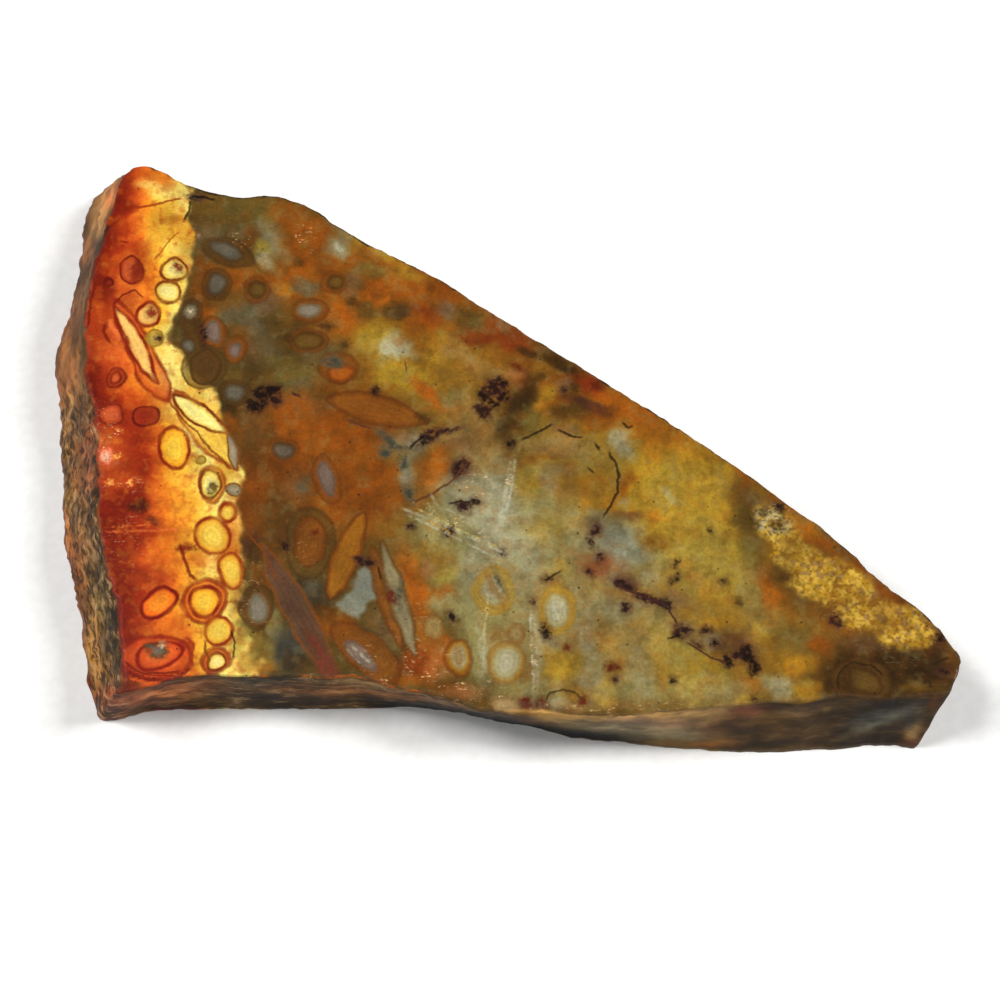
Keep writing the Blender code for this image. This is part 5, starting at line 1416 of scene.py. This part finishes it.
def draw_marks(agate, colour, inner, fray, broken):
    """Lays husks, roots and blots over a colour: inside, rings and wall, softer where inner is high."""
    soft = 0.8 + 1.0 * inner
    thin = agate.rise(agate.noise(WALL_GAPS, 1.0), 0.3, 0.62)
    for name, inside_share, wall_share, ringed in MARK_LAYERS:
        depth = agate.stored(name + "_inside", "Alpha") + (fray * 1.8 if ringed else broken * 11.0)
        half = agate.stored(name + "_wall", "Alpha")
        inside = agate.rise(depth, -1.0 * soft, soft, inside_share)
        wall = agate.rise(-1.0 * abs(depth), -1.0 * (half + soft), -0.3 * half, wall_share)
        tint_inside = agate.stored(name + "_inside", "Color")
        if ringed:
            swing = agate.sine(depth * RING_SPACING + agate.noise(GROWTH, 1.0) * 2.5)
            tint_inside = agate.shade(tint_inside, 1.0 + RING_STRENGTH * swing)
        else:
            inside = inside * agate.rise(agate.noise(BLOT_HOLES, 3.0), 0.30, 0.52)
            halo = agate.rise(agate.stored(name + "_inside", "Alpha") + broken * 8.0, -7.0, 1.0, 0.55)
            colour = agate.blend(halo, colour, agate.stored(name + "_wall", "Color"))
        colour = agate.blend(inside, colour, tint_inside)
        wall = wall * (0.65 + 0.35 * thin) * (1.0 - 0.4 * inner)
        colour = agate.blend(wall, colour, agate.stored(name + "_wall", "Color"))
    return colour


def draw_lines(agate, colour, broken):
    """Lays seams, and broken scratches drawn pale as painted sheen, over a colour."""
    for name, share in (("seam", 0.85), ("sheen_scratch", 0.55)):
        side = abs(agate.stored(name, "Alpha") + broken * 3.0)
        half = agate.stored(name + "_half")
        line = agate.rise(-1.0 * side, -1.0 * half - 0.9, -0.5 * half, share) * agate.stored(name + "_show")
        if name == "sheen_scratch":
            line = line * agate.rise(agate.noise(LINE_GAPS), 0.3, 0.65)
        colour = agate.blend(line, colour, agate.stored(name, "Color"))
    return colour


def scatter_specks(agate, colour, fray):
    """Lays fine cloudiness, small dark specks in groups, and painted glints where they are stored over a
    colour.
    """
    colour = agate.shade(colour, 0.9 + agate.rise(agate.noise(FINE_CLOUD), 0.25, 0.75, 0.2))
    specks = agate.node("ShaderNodeTexVoronoi", {}, {"Vector": agate.place, "Scale": SPECKS}, "Distance")
    specks = specks + fray * 0.12
    chosen = agate.rise(agate.noise(SPECK_GROUPS, 1.0), 0.5, 0.62)
    colour = agate.blend(agate.rise(-1.0 * specks, -0.14, -0.05, 0.75) * chosen, colour, SPECK_COLOUR)
    # Painted glints: bright spots in the base colour where the wet cut would catch the lamps.
    glints = agate.rise(agate.drawn_noise(PAINTED_GLINT_STRETCH, 3.0, 0.7), 0.57, 0.66)
    glints = glints * agate.rise(agate.noise(PAINTED_GLINT_GROUPS, 1.0), 0.42, 0.6) * agate.stored("painted_glints")
    return agate.blend(glints * 0.85, colour, PAINTED_GLINT_COLOUR)


def wall_skin(agate, coarse):
    """The walls' dull skin: its tint with dark crevices, pale crests and wisps, and the layers' height."""
    bark = agate.drawn_noise(BARK, 3.0, 0.65)
    layers = agate.drawn_noise(LAYERS, 5.0, 0.7)
    streak = layers + (bark - layers) * agate.rise(coarse, 0.8, 0.95)
    colour = agate.stored("wall_ground", "Color")
    dark = agate.rise(-1.0 * streak, -0.52, -0.41)
    colour = agate.blend(dark * (0.12 + 0.68 * coarse), colour, CREVICE_COLOUR)
    pale = agate.rise(streak, 0.53, 0.64)
    colour = agate.blend(pale * (0.02 + 0.66 * coarse), colour, CREST_COLOUR)
    wisp = agate.drawn_noise(WISPS, 3.0)
    return agate.shade(colour, 0.55 + agate.rise(wisp, 0.3, 0.7, 0.9)), streak


def agate_finish():
    """Polished agate: the stored ground, marks, seams and scratches with their painted sheen, and the walls'
    dull skin.
    """
    agate = Finish("wet_polished_agate")
    inner, skin, dull, coarse = (agate.stored(name) for name in ("inner", "skin", "dull", "coarse"))
    fray = agate.noise(FRAY) - 0.5
    broken = agate.noise(BREAKS, 3.0) - 0.5
    colour = draw_marks(agate, agate.stored("ground", "Color"), inner, fray, broken)
    colour = scatter_specks(agate, draw_lines(agate, colour, broken), fray)
    wall_colour, streak = wall_skin(agate, coarse)
    colour = agate.blend(skin, colour, wall_colour)
    colour = agate.node("ShaderNodeGamma", {}, {"Color": colour, "Gamma": DEEPENING})
    colour = agate.blend(1.0, colour, WARM_LIGHT, "MULTIPLY")
    layered = agate.bump(streak * skin * (0.2 + 0.8 * coarse), 0.7, 0.00025)
    surface = agate.bump(agate.noise(GRIT), 0.08, 0.00004, layered)
    agate.set(Base_Color=agate.shade(colour, 0.855 - 0.07 * inner), Normal=surface)
    agate.set(Roughness=0.28 + 0.4 * dull, Coat_Weight=0.3 - 0.3 * dull)
    agate.set(Coat_Roughness=0.08, IOR=1.3, Metallic=0.0)
    return agate.material


def build_slab():
    """The stone, standing for the one body."""
    mesh, points, levels, count = slab_mesh()
    paint_slab(mesh, points, levels, count)
    mesh.materials.append(agate_finish())
    slab = bpy.data.objects.new("seam_agate", mesh)
    bpy.context.scene.collection.objects.link(slab)
    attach(slab, "root")
    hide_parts("agate_slab")


FLOOR_HALF = 0.6
PAPER_DARK, PAPER_PALE = (0.87, 0.865, 0.85, 1.0), (0.91, 0.905, 0.89, 1.0)


def lay_floor():
    """A plain pale table top."""
    corners = [(x * FLOOR_HALF, y * FLOOR_HALF, 0) for x, y in ((-1, -1), (1, -1), (1, 1), (-1, 1))]
    mesh = bpy.data.meshes.new("table_top")
    mesh.from_pydata(corners, [], [(0, 1, 2, 3)])
    paper = Finish("white_paper")
    pulp = paper.rise(paper.noise(900.0), 0.3, 0.7)
    paper.set(Base_Color=paper.blend(pulp, PAPER_DARK, PAPER_PALE), Roughness=0.9)
    mesh.materials.append(paper.material)
    floor = bpy.data.objects.new("table_top", mesh)
    bpy.context.scene.collection.objects.link(floor)


NEAREST_SEEN = 0.005
ROOM_LIGHT = 0.11
# Lamps: name, place, width of their square, watts.
LAMPS = (
    ("left_lamp", (-0.41, 0.065, 0.59), 0.24, 3.65),
    ("right_lamp", (0.54, 0.06, 0.50), 0.18, 3.65),
    ("front_fill", (0.0, -0.50, 0.50), 0.50, 1.0),
)


def place_camera():
    """The eye from which the pixels are read, looking along +Y and down."""
    data = bpy.data.cameras.new("view")
    data.lens, data.sensor_width = LENS, FILM
    data.clip_start = NEAREST_SEEN
    camera = bpy.data.objects.new("view", data)
    camera.location = (EYE[0] - STONE_MIDDLE[0], EYE[1] - STONE_MIDDLE[1], EYE[2])
    camera.rotation_euler = (math.pi / 2 - VIEW_ELEVATION, 0.0, 0.0)
    bpy.context.scene.collection.objects.link(camera)
    bpy.context.scene.camera = camera


def place_lamp(name, at, size, power):
    """A square soft light at a point, facing the stone."""
    data = bpy.data.lights.new(name, "AREA")
    data.size, data.energy = size, power
    lamp = bpy.data.objects.new(name, data)
    lamp.location = at
    lamp.rotation_euler = (-Vector(at)).to_track_quat("-Z", "Y").to_euler()
    bpy.context.scene.collection.objects.link(lamp)


def light_stage():
    """A dim white room, a soft lamp each side of the stone and a weaker one in front."""
    world = bpy.data.worlds.new("white_room")
    world.use_nodes = True
    background = world.node_tree.nodes["Background"]
    background.inputs["Color"].default_value = (1.0, 1.0, 1.0, 1.0)
    background.inputs["Strength"].default_value = ROOM_LIGHT
    bpy.context.scene.world = world
    for lamp in LAMPS:
        place_lamp(*lamp)
    bpy.context.scene.view_settings.view_transform = "Standard"


build_slab()
lay_floor()
place_camera()
light_stage()
